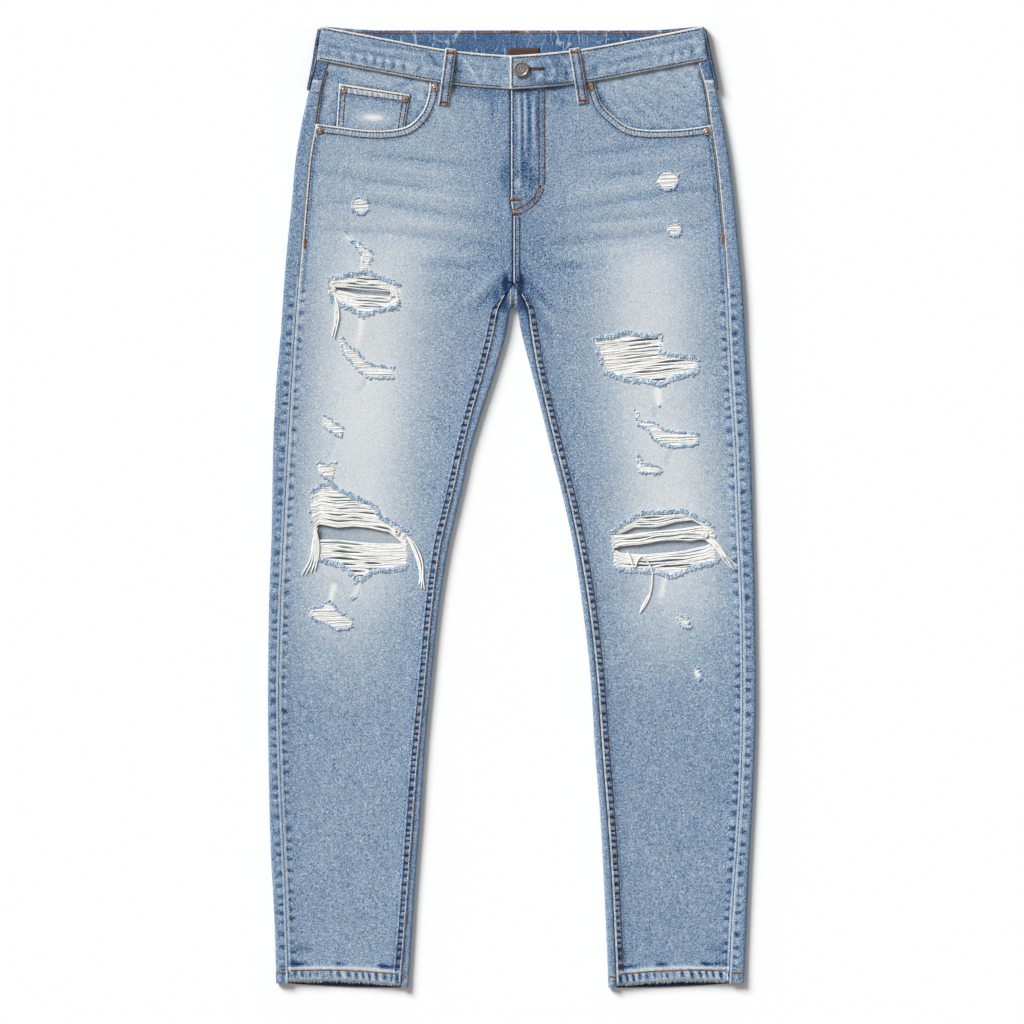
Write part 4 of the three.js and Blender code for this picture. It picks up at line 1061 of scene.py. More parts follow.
def band_inside_material():
    """Deep blue cloth with pale branching wrinkles that run up and down the band."""
    material, n, shader = new_material("band inside", 0.9, Specular_IOR_Level=0.2)
    bend = n.noise(52, 2, 0.6, 1.6, stretch=(1, 0.24, 1))
    thin = n.math("ABSOLUTE", n.centred(bend, 1.0))
    wrinkle = n.math("MULTIPLY", n.ramp(thin, 0.035, 0.0), n.ramp(n.noise(70, 1, 0.5), 0.38, 0.56))
    grain = n.group(GRAIN, Amount=0.5)
    tone = n.math("MULTIPLY_ADD", n.noise(30, 2, 0.5), 0.3, 0.14)
    tone = n.math("ADD", tone, grain["Tone"])
    tone = n.math("MULTIPLY_ADD", wrinkle, 0.42, tone, clamp=True)
    height = n.math("MULTIPLY_ADD", wrinkle, 1.6, grain["Height"])
    n.give(shader, Base_Color=n.colours(tone, WASH), Normal=n.bump(height, 0.0005, 0.8))
    return material


def thread_material(name, colour, darker, roughness=0.75):
    """Spun thread: paler and darker from strand to strand."""
    material, n, shader = new_material(name, roughness, Sheen_Weight=0.1,
                                       Specular_IOR_Level=0.25)
    spread = n.ramp(n.noise(180, 2, 0.6), 0.3, 0.7)
    n.give(shader, Base_Color=n.mix(spread, darker, colour),
           Normal=n.bump(n.noise(2600, 1, 0.5), 0.0002, 0.4))
    return material


def metal_material(name, colour, darker, roughness):
    """Dull antique metal, darker in blotches."""
    material, n, shader = new_material(name, roughness, Metallic=0.85)
    blotches = n.ramp(n.noise(420, 3, 0.6), 0.35, 0.65)
    n.give(shader, Base_Color=n.mix(blotches, darker, colour),
           Roughness=n.ramp(blotches, 0, 1, roughness + 0.2, roughness),
           Normal=n.bump(n.noise(1500, 2, 0.6), 0.0001, 0.4))
    return material


def label_material():
    material, n, shader = new_material("label leather", 0.6)
    grain = n.noise(900, 3, 0.6)
    n.give(shader, Base_Color=n.mix(grain, dye(38, 26, 20), dye(84, 58, 42)),
           Normal=n.bump(grain, 0.0002, 0.5))
    return material


WASHED = denim_material("washed denim", WASH)
INSIDE = denim_material("denim inside", INSIDE_WASH, shift=0.2, mottling=0.7, cream=0.0,
                        dark_edge=0.62)
BAND_INSIDE = band_inside_material()
COTTON = thread_material("cotton thread", dye(252, 251, 247), dye(238, 238, 235))
FUZZ = thread_material("frayed warp", dye(226, 237, 245), dye(142, 180, 214))
COPPER = thread_material("copper thread", dye(182, 126, 78), dye(110, 76, 54))
BROWN = thread_material("dark thread", dye(112, 80, 66), dye(48, 40, 46))
CREAM_THREAD = thread_material("cream thread", dye(232, 227, 214), dye(190, 184, 172))
ORANGE = thread_material("orange thread", dye(232, 150, 74), dye(178, 104, 50))
BUTTON_METAL = metal_material("button metal", dye(166, 160, 154), dye(134, 128, 123), 0.45)
RIVET_METAL = metal_material("rivet metal", dye(206, 192, 180), dye(112, 88, 74), 0.42)
LABEL_SKIN = label_material()


# Front panels


def hem_lift(side, x, y):
    outer, inner = side_seam(side, HEM_BOTTOM), inside_seam(side, HEM_BOTTOM)
    t = np.clip((x - inner) / (outer - inner), 0, 1)
    return HEM_RISE * t * t * smoothstep(-446, HEM_BOTTOM, y)


def front_lift(side, x, y):
    outer, inner = side_seam(side, HEM_BOTTOM), inside_seam(side, HEM_BOTTOM)
    arch = 3.6 * np.sin(math.pi * np.clip((x - inner) / (outer - inner), 0, 1))
    rise = (FRONT_HEM_RISE + arch) * smoothstep(-446, HEM_BOTTOM, y)
    return hem_lift(side, x, y) + rise


def fell_width(y):
    """Width of the band along the inside seam, which begins as a point at the four seams."""
    return FELL_WIDTH * smoothstep(JUNCTION_Y + 2, CROTCH_Y - 8, y)


def signed_to_rips(side, x, y, reach=14):
    """Distance outside the nearest cut rip, and how far inside a thread-filled one."""
    outside = np.full(x.shape, 99.0)
    inside = np.full(x.shape, -99.0)
    for rip in RIPS:
        if rip["side"] != side:
            continue
        near = near_box(x, y, rip["torn"], reach)
        if not near.any():
            continue
        closed = np.vstack([rip["torn"], rip["torn"][:1]])
        distance = nearest_on(x[near], y[near], closed)[0]
        within = is_inside(x[near], y[near], rip["torn"])
        if rip["through"]:
            outside[near] = np.minimum(outside[near], np.where(within, 0, distance))
        else:
            inside[near] = np.maximum(inside[near], np.where(within, distance, -distance))
    return outside, inside


def to_mouth(side, x, y):
    """Distance from the pocket mouth and how far along it."""
    distance, run = np.full(x.shape, 99.0), np.zeros(x.shape)
    near = y > 380
    if near.any():
        distance[near], _, _, run[near] = nearest_on(x[near], y[near], MOUTH_LINE[side])
    return distance, run


def front_surface(side, x, y):
    """Height of the front panel's outside with its seams and creases, and its marks."""
    x, y = np.broadcast_arrays(np.asarray(x, float), np.asarray(y, float))
    lift, paler = creases(x, y)
    height = upper_height(side, x, y) + lift
    tone = leg_tone(side, x, y) + paler
    from_inside = np.where(y < JUNCTION_Y + 2, side * (x - inside_seam(side, y)) * 0.97, 99)
    from_side = side * (side_seam(side, y) - x)
    from_hem = y - HEM_BOTTOM
    from_mouth, mouth_run = to_mouth(side, x, y)
    from_rip, inside_rip = signed_to_rips(side, x, y)
    from_fly = np.where(y > JUNCTION_Y, side * (x - centre_front(y)), 99)

    width = fell_width(y)
    fell = band_rise(from_inside, width) * (width > 0.5)
    fell_middle = middle_of(from_inside, np.maximum(width, 0.1)) * (from_inside < width)
    mouth = band_rise(from_mouth, MOUTH_BAND, 0.4)
    mouth_middle = middle_of(from_mouth, MOUTH_BAND) * (from_mouth < MOUTH_BAND)
    hem = band_rise(from_hem, HEM_HEIGHT, 0.5)
    hem_middle = middle_of(from_hem, HEM_HEIGHT) * (from_hem < HEM_HEIGHT)
    lower_seam = smoothstep(250, 225, y)
    ridge = 0.45 * bell(from_side - 1.5, 1.2) * lower_seam
    blotch = middle_of(from_side - 2, 8) * (from_side > 2) * (from_side < 10) * lower_seam
    upper_seam = 1 - lower_seam
    raised_edge = band_rise(from_side, 4.2, 0.35) * upper_seam

    run = np.where(from_inside < 14, y / 7.4, y / 11.5)
    band = np.where(from_inside < 14, 1.3 * fell_middle, 0.8 * blotch)
    is_mouth = from_mouth < MOUTH_BAND + 1
    run = np.where(is_mouth, mouth_run / 3.3, run)
    band = np.where(is_mouth, 0.45 * mouth_middle, band)
    is_hem = from_hem < HEM_HEIGHT + 1
    run = np.where(is_hem, (x + 0.35 * y) / 7.9, run)
    band = np.where(is_hem, 0.5 * hem_middle, band)
    wobble = np.cos(2 * math.pi * run)
    ovals = smoothstep(-0.1, 0.8, np.cos(2 * math.pi * uneven_count((x + 0.1 * y) / 7.9)))
    ovals = ovals * np.exp(-(np.abs((from_hem - 7.4) / 3.9) ** 3))
    height = height + fell + mouth + hem + ridge + raised_edge
    height -= 0.16 * wobble * band * np.where(is_mouth, 0.4, 1)

    if side == LEFT:
        row = fly_distance(x, y)
        tone -= 0.1 * bell(row + 1, 2.2) * (y > 300)
        tone -= 0.05 * (row < 0) * (y > 310)
        felled = np.where((y < 318) & (y > JUNCTION_Y), from_fly, 99)
        height += band_rise(felled, 7.2, 0.4)
    # No worn edge shows in the dark fold where the four seams meet
    seam_edge = from_inside + 12 * smoothstep(198, 212, y)
    edge = np.minimum.reduce([seam_edge, from_hem, from_mouth, from_rip * 0.75,
                              np.where(upper_seam > 0.5, from_side, 99),
                              np.where(side == LEFT, from_fly, 99)])
    cut_side = np.where(upper_seam > 0.5, from_side, 99)
    height = height - edge_drop(np.minimum.reduce([from_inside, from_mouth, from_hem,
                                                   from_fly, cut_side]))
    height -= edge_drop(from_rip, 2.4, 0.35)
    height -= 0.2 * smoothstep(-0.5, 1.5, inside_rip)

    # Paler on raised bands and round the rips, as worn; darker in the lines beside the bands, which is painted shade
    # with unworn indigo
    tone = tone - 0.2 * (fell / FELL_RISE) + 0.06 * (mouth / 0.4) + 0.17 * (hem / 0.5)
    tone -= 0.62 * ovals
    # Painted shade along the right panel's edge, under the lapped fly
    if side == RIGHT:
        tone -= 0.4 * bell(from_fly - 0.6, 1.7)
    tone += 0.3 * bell(from_inside - width + 0.1, 0.8) * (width > 4)
    tone += 0.06 * bell(from_rip, 5) * (from_rip < 30)
    # Painted shadow under the waistband, broken into streaks
    from_band = band_bottom_front(x) - y
    shade = 0.24 * bell(from_band, 4.5) * (0.75 + 0.35 * np.sin(x / 5.3))
    tone -= shade
    # Painted shade with unworn indigo in the navy line beside the raised side-seam edge
    tone -= 0.24 * bell(from_side - 5.6, 1.4) * upper_seam
    above_hem = bell(from_hem - HEM_HEIGHT - 1.6, 1.5)
    tone += 0.42 * above_hem
    streaks = np.clip(np.sin(x / 3.7 + 0.16 * y) + np.sin(x / 7.9), 0, 2)
    tone -= 0.26 * streaks * bell(from_hem - HEM_HEIGHT - 5.2, 2.4)
    ends = np.minimum(from_side, from_inside)
    ends = smoothstep(34, 10, ends) * smoothstep(-1, 3, ends)
    tone -= 0.46 * ends * bell(from_hem - HEM_HEIGHT - 5, 2.2)
    # Painted shade with unworn indigo in the lines beside the inside-seam band and below the pocket mouth band
    tone -= 0.12 * bell(from_inside - width - 1, 1.4) * (width > 1)
    tone -= 0.14 * bell(from_mouth - MOUTH_BAND - 1, 1.5)
    tone += 0.34 * bell(from_side - 2, 0.9) * lower_seam
    tone -= 0.16 * bell(from_side - 4, 1.0) * lower_seam
    return height, cloth_marks(tone, edge, band, uneven_count(run), np.clip(5 + inside_rip, 0, 10))


def uneven_count(count):
    """Puckers are unevenly spaced."""
    return count + 0.22 * np.sin(count / 1.9) + 0.18 * np.sin(count / 0.83 + 1)


FLY_ROWS = {
    "inner": [(28.8, 450), (28.9, 400), (28.8, 353), (26, 339.6), (19.4, 330.4), (8.6, 323.4),
              (-1, 321)],
    "outer": [(35, 450), (35.1, 400), (35, 353), (31.4, 338), (24.8, 327.6), (14, 319.6),
              (-1, 314.6)],
}
FLY_LINE = {name: catmull_rom(points) for name, points in FLY_ROWS.items()}


def fly_distance(x, y):
    """How far outside the fly's outer row; below zero inside it."""
    closed = np.vstack([FLY_LINE["outer"], [[-10, 314], [-10, 450]]])
    distance = nearest_on(x, y, FLY_LINE["outer"])[0]
    return np.where(is_inside(x, y, closed), -distance, distance)


def snap_to(x, y, gone, outline):
    """Moves the grid's places along a cut onto its outline."""
    beside = np.zeros((*x.shape, 2), bool)
    for index, cells in enumerate((gone, ~gone)):
        for down in (slice(None, -1), slice(1, None)):
            for across in (slice(None, -1), slice(1, None)):
                beside[down, across, index] |= cells
    border = beside.all(axis=2)
    if border.any():
        _, x[border], y[border], _ = nearest_on(x[border], y[border], outline)


def cell_centres(grid):
    return (grid[:-1, :-1] + grid[1:, :-1] + grid[:-1, 1:] + grid[1:, 1:]) / 4


def front_grid(side, columns, rows):
    """Places x, y of the front panel, from the hem up and from the side seam inwards."""
    share = spread_out(columns)[None, :]
    low = np.linspace(HEM_BOTTOM, HIP_ROW_Y, rows)[:, None]
    high = np.linspace(0, 1, int(rows * 0.115))[1:, None]
    y = np.vstack([np.broadcast_to(low, (rows, columns)),
                   np.broadcast_to(mix(HIP_ROW_Y, 482, high), (len(high), columns))])

    def across(y):
        outer = side_seam(side, y) - side * mix(0.03, SEAM_GAP, smoothstep(225, 250, y))
        below = inside_seam(side, y) + side * SEAM_GAP
        above = centre_front(y) + side * SEAM_GAP / 2
        inner = mix(below, above, smoothstep(JUNCTION_Y - 1, JUNCTION_Y + 3, y))
        return mix(outer, inner, share)

    x = across(y)
    for _ in range(4):
        top = band_bottom_front(x[rows:]) - SEAM_GAP + 5
        y[rows:] = mix(HIP_ROW_Y, top, high)
        x = across(y)
    return x, y


def cut_out(x, y, outlines):
    """Which cells lie inside an outline; the places beside them are moved onto it."""
    gone = np.zeros((x.shape[0] - 1, x.shape[1] - 1), bool)
    for outline in outlines:
        cx, cy = cell_centres(x), cell_centres(y)
        near = near_box(cx, cy, outline, 4)
        inside = np.zeros_like(near)
        inside[near] = is_inside(cx[near], cy[near], outline)
        snap_to(x, y, inside, np.vstack([outline, outline[:1]]))
        gone |= inside
    return gone


def front_panel(side):
    x, y = front_grid(side, 92, 405)
    rips = [rip["torn"] for rip in RIPS if rip["side"] == side and rip["through"]]
    gone = cut_out(x, y, [mouth_outline(side), *rips])
    height, marks = front_surface(side, x, y)
    return cloth_sheet(f"front_cloth_{SIDE_NAMES[side]}", x, y + front_lift(side, x, y), height,
                       marks, x, DENIM, gone, flip=side == LEFT)


# Pocket facings, which show in the pocket mouths

def facing_surface(side, x, y):
    lift, paler = creases(x, y)
    height = upper_height(side, x, y) - 1.5 + 0.5 * lift
    from_mouth = to_mouth(side, x, y)[0]
    from_side = side * (side_seam(side, y) - x)
    from_band = band_bottom_front(x) - y
    streaks = 0.05 * np.sin((x + 1.7 * y) / 4.2) * np.sin((x - 0.6 * y) / 11)
    tone = 0.59 + paler + streaks
    # Painted shadow along the pocket mouth, under the edge of the front panel
    tone = tone - 0.24 * bell(from_mouth, 2.6) + 0.06 * smoothstep(430, 455, y)
    tone += 0.16 * bell(from_band, 6) * (0.7 + 0.4 * np.sin(x / 4.1))
    # Painted shade with unworn indigo in a line beside the side seam
    tone -= 0.12 * bell(from_side - 4, 2)
    # Painted shade with unworn indigo round the coin pocket's edges
    if side == RIGHT:
        corners = list(COIN_CORNERS.values())
        from_coin = nearest_on(x, y, np.array([*corners, corners[0]], float))[0]
        tone -= 0.3 * bell(from_coin, 2.2)
    return height - edge_drop(from_side), cloth_marks(tone, from_side)


def pocket_facing(side):
    share, down = share_grids(44, 72)
    y = mix(395.0, 470.0, down)
    for _ in range(4):
        x = mix(side_seam(side, y) - side * SEAM_GAP, side * 72.0, share)
        top = band_bottom_front(x) - SEAM_GAP + 3
        y = mix(mix(top, HIP_ROW_Y, 0.82), top, down)
    height, marks = facing_surface(side, x, y)
    return cloth_sheet(f"facing_cloth_{SIDE_NAMES[side]}", x, y, height, marks, x, POCKET_CLOTH,
                       flip=side == LEFT)


# Back panels and yokes, which come round the folds onto the upper side

def back_place(side, part, t, y):
    """Places of the back cloth in one of its five columns, at share t of that column."""
    radius = fold_radius(y)
    floor = underside(y)
    outer_x = outer_edge(side, y) - side * radius
    below = inner_edge(side, y) + side * radius
    inner_x = np.where(y < CROTCH_Y, below, CENTRE_X + side * SEAM_GAP / 2)
    turn = math.pi * t
    if part == "outer_strip":
        x = mix(side_seam(side, y), outer_x, t)
        return x, upper_height(side, x, y)
    if part == "outer_fold":
        return outer_x + side * radius * np.sin(turn), floor + radius + radius * np.cos(turn)
    if part == "under":
        return mix(outer_x, inner_x, t), floor + 0 * t
    if part == "inner_fold":
        return inner_x - side * radius * np.sin(turn), floor + radius - radius * np.cos(turn)
    x = mix(inner_x, inside_seam(side, y), t)
    return x, upper_height(side, x, y)


TAB_Y = (449.5, 459.5)
BACK_COLUMNS = {
    "outer_strip": 9,
    "outer_fold": 9,
    "under": 44,
    "inner_fold": 8,
    "inner_strip": 7,
}
OUTER_COLUMNS = ["outer_strip", "outer_fold", "under"]
OUTER_COUNT = BACK_COLUMNS["outer_strip"] + BACK_COLUMNS["outer_fold"] - 1


def back_marks(side, x, y, up):
    """Marks of the back cloth. up is 1 on the upper side and 0 on the underside."""
    from_side = side * (x - side_seam(side, y))
    from_inside = side * (inside_seam(side, y) - x)
    from_hem = y - HEM_BOTTOM
    blotch = middle_of(from_side - 2, 8) * (from_side > 2) * up * smoothstep(260, 225, y)
    hem = (from_hem < HEM_HEIGHT) * middle_of(from_hem, HEM_HEIGHT)
    outer = np.abs(x - outer_edge(side, y))
    seat = 0.2 * smoothstep(0, 1, 1 - up) * bell(np.abs(x) - 110, 90)
    tone = 0.5 + seat * smoothstep(-300, 100, y) * smoothstep(400, 300, y)
    tone += up * (0.03 - 0.07 * bell(outer, 7))
    tone += 0.34 * bell(from_side - 2, 0.9) * up * (y < 250)
    tone -= 0.16 * bell(from_side - 4, 1.0) * up * (y < 250)
    # Painted shade with unworn indigo in the line beside the inside-leg seam
    tone -= up * 0.3 * bell(from_inside - 0.5, 1.6) * (y < JUNCTION_Y)
    # The short strip between the legs has painted shadow at its sides and in the fold below the crotch, and is dark
    # along the crossing seam
    gusset = up * (np.abs(x - CENTRE_X) < 14) * smoothstep(206, 218, y)
    tone -= 0.34 * gusset * smoothstep(3.5, 7.5, np.abs(x - 0.6))
    tone -= 0.3 * gusset * bell(y - 239, 3)
    tone -= 0.22 * up * np.exp(-(((x - CENTRE_X) / 18) ** 2 + ((y - 208) / 26) ** 2))
    # The tab under the side loop, sewn flat between the side seam and the fold
    from_tab = np.minimum(np.abs(y - TAB_Y[0]), np.abs(y - TAB_Y[1]))
    on_tab = (y > TAB_Y[0]) * (y < TAB_Y[1]) * up
    tone = tone + 0.08 * on_tab - 0.24 * up * (1 - on_tab) * bell(from_tab, 1.8)
    tone -= 0.16 * up * smoothstep(TAB_Y[1], TAB_Y[1] + 4, y)
    tone += creases(x, y + 24)[1] * (1 - up)
    edge = np.where(up > 0.5, np.where(y > 236, from_side, 99), 99)
    edge = np.minimum(edge, from_hem)
    edge = np.where((up > 0.5) & (y > 440), np.minimum(np.abs(edge), from_tab), edge)
    band = np.where(from_hem < HEM_HEIGHT, 0.5 * hem, 0.8 * blotch)
    run = np.where(from_hem < HEM_HEIGHT, x / 7.9, y / 11.5 + 0.4)
    return cloth_marks(tone, np.abs(edge), band, uneven_count(run))


def back_sheet(name, side, y, parts, gone=None):
    """y is the grid's row heights, one column or a full grid for the columns of the parts."""
    xs, zs, ups = [], [], []
    start = 0
    for part in parts:
        count = BACK_COLUMNS[part]
        t = np.linspace(0, 1, count)[None, :]
        if part != parts[0]:
            t = t[:, 1:]
        rows = y[:, start : start + t.shape[1]]
        start += t.shape[1]
        x, z = back_place(side, part, t, rows)
        xs.append(x + 0 * rows)
        zs.append(z + 0 * rows)
        fold = {"outer_fold": 1 - t, "inner_fold": t}.get(part)
        flat = 1.0 if part.endswith("strip") else 0.0
        ups.append((flat if fold is None else smoothstep(0.35, 0.65, fold)) + 0 * rows)
    x, z, up = np.hstack(xs), np.hstack(zs), np.hstack(ups)
    from_side = side * (x - side_seam(side, y))
    lift = creases(x, y)[0] * up * 0.6
    # Troughs on the underside only reach up into the cloth, so that it still lies flat
    under = np.maximum(-creases(-x, y + 24)[0], 0) * (1 - up)
    ridge = 0.45 * bell(from_side - 1.5, 1.2) * up * smoothstep(250, 225, y)
    seam = edge_drop(np.abs(from_side)) * up * smoothstep(225, 250, y)
    inside = edge_drop(np.abs(side * (inside_seam(side, y) - x))) * up * (y < JUNCTION_Y)
    tab = np.minimum(y - TAB_Y[0], TAB_Y[1] - y)
    z = z + lift + 0.8 * under + ridge - seam - inside + 0.5 * smoothstep(0, 1.4, tab) * up
    hem = band_rise(y - HEM_BOTTOM, HEM_HEIGHT, 0.35) * up
    marks = back_marks(side, x, y, up)
    run = np.cumsum(np.hypot(np.diff(x, prepend=x[:, :1]), np.diff(z, prepend=z[:, :1])), axis=1)
    return cloth_sheet(name, x, y + hem_lift(side, x, y), z + hem, marks, run, DENIM, gone,
                       flip=side == RIGHT)


def inward_shares(parts):
    """How far in from the side of the underside each column of the parts lies."""
    columns = sum(BACK_COLUMNS[part] for part in parts) - len(parts) + 1
    return np.clip((np.arange(columns) - OUTER_COUNT + 1) / (BACK_COLUMNS["under"] - 1), 0, 1)


def yoke_seam(under):
    """Height of the yoke seam at a share of the way in from the side."""
    return mix(YOKE_SIDE_Y, YOKE_CENTRE_Y, under)


def back_panel(side):
    parts = list(BACK_COLUMNS)
    inward = inward_shares(parts)
    columns = len(inward)
    under_end = OUTER_COUNT + BACK_COLUMNS["under"] - 1
    low = np.linspace(HEM_BOTTOM, HIP_ROW_Y, 330)
    top = yoke_seam(inward) - 0.3 * SEAM_GAP
    share = np.linspace(0, 1, 20)[1:, None]
    y = np.vstack([np.broadcast_to(low[:, None], (len(low), columns)),
                   mix(HIP_ROW_Y, top[None, :], share)])
    middle = (y[:-1, :-1] + y[1:, :-1]) / 2
    column = np.arange(columns - 1)[None, :]
    strip_start = under_end - 1 + BACK_COLUMNS["inner_fold"]
    gone = (column >= under_end - 1) & (middle > CROTCH_Y)
    gone &= (column < strip_start - 1) | (middle > JUNCTION_Y)
    return back_sheet(f"back_cloth_{SIDE_NAMES[side]}", side, y, parts, gone)


YOKE_ROWS = 40


def back_yoke(side):
    inward = inward_shares(OUTER_COLUMNS)
    columns = len(inward)
    y = np.broadcast_to(yoke_seam(inward)[None, :], (YOKE_ROWS, columns)).copy()
    share = np.linspace(0, 1, YOKE_ROWS)[:, None]
    x = np.zeros_like(y)
    for _ in range(3):
        start = 0
        for part in OUTER_COLUMNS:
            t = np.linspace(0, 1, BACK_COLUMNS[part])[None, :]
            if start:
                t = t[:, 1:]
            span = slice(start, start + t.shape[1])
            x[:, span] = back_place(side, part, t, y[:, span])[0]
            start = span.stop
        front = np.arange(columns)[None, :] < OUTER_COUNT - BACK_COLUMNS["outer_fold"] // 2
        top = np.where(front, band_bottom_front(x), band_bottom_back(x)) - SEAM_GAP
        y = mix(yoke_seam(inward)[None, :], top, share)
    return back_sheet(f"yoke_cloth_{SIDE_NAMES[side]}", side, y, OUTER_COLUMNS)


# Waistband, one strip from the under end round the back to the lapped end

def band_stations():
    """Columns x, z, share of the back edge, and whether it faces up."""
    radius = (BAND_TOP_Z - SEAT_LIFT) / 2
    fold_x = BAND_CORNER_X - radius
    middle = SEAT_LIFT + radius

    def fold(side, start, end):
        return [(side * (fold_x + radius * math.sin(a)), middle + radius * math.cos(a),
                 float(a >= math.pi / 2), float(a < math.pi / 2))
                for a in np.linspace(start, end, 13)[1:]]

    rows = [(x, BAND_TOP_Z, 0.0, 1.0) for x in np.linspace(UNDER_END_X, -fold_x, 150)]
    rows += fold(RIGHT, 0, math.pi)
    rows += [(x, SEAT_LIFT, 1.0, 0.0) for x in np.linspace(-fold_x, fold_x, 120)[1:]]
    rows += fold(LEFT, math.pi, 0)
    lapped = np.linspace(fold_x, LAP_END_X, 130)[1:]
    rows += [(x, band_front_z(x), 0.0, 1.0) for x in lapped]
    return np.array(rows, float)


def band_front_z(x):
    """Height of the band's face on the front, where the lapped end rises over the button."""
    lapped = mix(LAP_TOP_Z, BAND_TOP_Z, smoothstep(LAP_FLAT_X, LAP_RISE_X, x))
    return np.where(x > LAP_END_X - 0.01, lapped, BAND_TOP_Z)


# Worn lines across the band: places x and depth, how wide, how much paler
BAND_LINES = [
    [[(38, 6), (42, 14), (48, 26)], 1.4, 0.24],
    [[(45, 19), (49, 26), (51, 32)], 1.2, 0.2],
    [[(29, 22), (35, 25), (42, 30)], 1.3, 0.22],
    [[(50, 2), (54, 7), (59, 13)], 1.3, 0.2],
    [[(58, 16), (63, 22)], 1.4, 0.16],
    [[(-53, 7), (-47, 14), (-41, 23)], 1.2, 0.24],
    [[(-46, 17), (-40, 26), (-34, 35)], 1.2, 0.22],
    [[(-28, 11), (-30, 20), (-31, 29)], 1.3, 0.2],
    [[(-88, 8), (-84, 14), (-80, 18)], 3, -0.26],
    [[(-59, 12), (-57, 24), (-57, 35)], 3.2, -0.26],
    [[(-200, 13), (-178, 12), (-150, 13), (-122, 11)], 1.5, 0.14],
    [[(-196, 19), (-170, 18), (-140, 18)], 1.5, -0.14],
    [[(-186, 24), (-150, 23), (-110, 24), (-76, 22)], 1.8, 0.16],
    [[(-150, 8), (-120, 7), (-90, 6)], 1.5, -0.14],
    [[(-204, 32), (-180, 31), (-160, 31)], 1.6, 0.12],
    [[(90, 14), (120, 13), (160, 14), (200, 12)], 1.6, 0.12],
    [[(84, 20), (110, 19), (140, 20)], 1.5, -0.14],
    [[(96, 27), (130, 26), (170, 27), (204, 26)], 2, 0.13],
    [[(150, 7), (180, 8), (205, 6)], 1.6, -0.12],
    [[(196, 14), (204, 22)], 1.4, 0.16],
    [[(186, 18), (200, 28)], 1.4, -0.16],
    [[(20, 33), (60, 32)], 2.4, -0.14],
]


def band_tint(x, depth):
    """How much paler the band is worn along its lines."""
    paler = np.zeros(x.shape)
    for line, width, tint in BAND_LINES:
        curve = catmull_rom(line, 5)
        near = near_box(x, depth, curve, 3 * width)
        distance = nearest_on(x[near], depth[near], curve)[0]
        paler[near] += tint * bell(distance, width)
    return paler


def band_relief(x, depth, edge):
    """Puckers, streaks and creases of the band's front at a depth below its upper edge."""
    count = uneven_count(x / 12.4)
    puckers = 0.75 * bell(depth - 26, 5) * (0.6 + 0.4 * np.sin(x / 29))
    cushion = -0.25 * np.cos(2 * math.pi * count) * puckers
    streaks = 0.22 * np.sin(depth / 2.1 + 2 * np.sin(x / 31)) * np.sin(x / 23 + 1)
    near_lap = smoothstep(30, 60, x) * smoothstep(110, 80, x)
    diagonal = 0.35 * np.sin((x * 0.5 + depth) / 3.1) * near_lap * smoothstep(0, 6, edge)
    relief = (cushion + streaks + diagonal) * smoothstep(0, 4, edge) - edge_drop(edge)
    return relief, puckers, count


def waistband():
    x0, z0, back, up = band_stations().T
    share = spread_out(24, 0.3)[:, None]
    top = np.where(back > 0.5, band_edge("back", np.abs(x0)), band_edge("front", np.abs(x0)))
    y = top[None, :] - BAND_HEIGHT * share
    x = x0[None, :] * mix(1, BAND_SPREAD, share)
    depth = BAND_HEIGHT * share + 0 * x
    step = np.hypot(np.diff(x[0]), np.diff(z0))
    run = np.concatenate([[0], np.cumsum(step)])[None, :] + 0 * x
    ends = np.minimum(run, run[0, -1] - run)
    edge = np.minimum(np.minimum(depth, BAND_HEIGHT - depth), ends)
    relief, puckers, count = band_relief(x, depth, edge)
    z = z0[None, :] + relief * up
    tone = 0.56 + 0.05 * np.sin(depth / 1.5 + 2 * np.sin(x / 19)) * np.sin(x / 27)
    tone = tone - 0.16 * bell(x - 44, 20) * up - 0.1 * (up < 0.5)
    tone += band_tint(x, depth) * up
    tone += 0.1 * bell(edge, 3.2)
    marks = cloth_marks(tone, edge * 0.8, puckers * up, count)
    return cloth_sheet("waistband_cloth", x, y, z, marks, run, BAND_CLOTH,
                       skins=[WASHED, BAND_INSIDE])


# Coin pocket, on the facing of the wearer's right pocket

COIN_CORNERS = {"top_outer": (-186.5, 457), "top_inner": (-110, 445),
                "bottom_inner": (-117.5, 400), "bottom_outer": (-190, 402)}
COIN_CLOTH = 0.9
COIN_HEM = 9.3
COIN_WIDE, COIN_TALL = 76, 48


def coin_place(across, down):
    """A place on the coin pocket, from its outer side and from its top."""
    corner = {name: np.array(place, float) for name, place in COIN_CORNERS.items()}
    return tuple(mix(mix(corner["top_outer"][k], corner["top_inner"][k], across),
                     mix(corner["bottom_outer"][k], corner["bottom_inner"][k], across), down)
                 for k in (0, 1))


def coin_height(x, y):
    lift, _ = creases(x, y)
    return upper_height(RIGHT, x, y) - 0.3 + 0.4 * lift


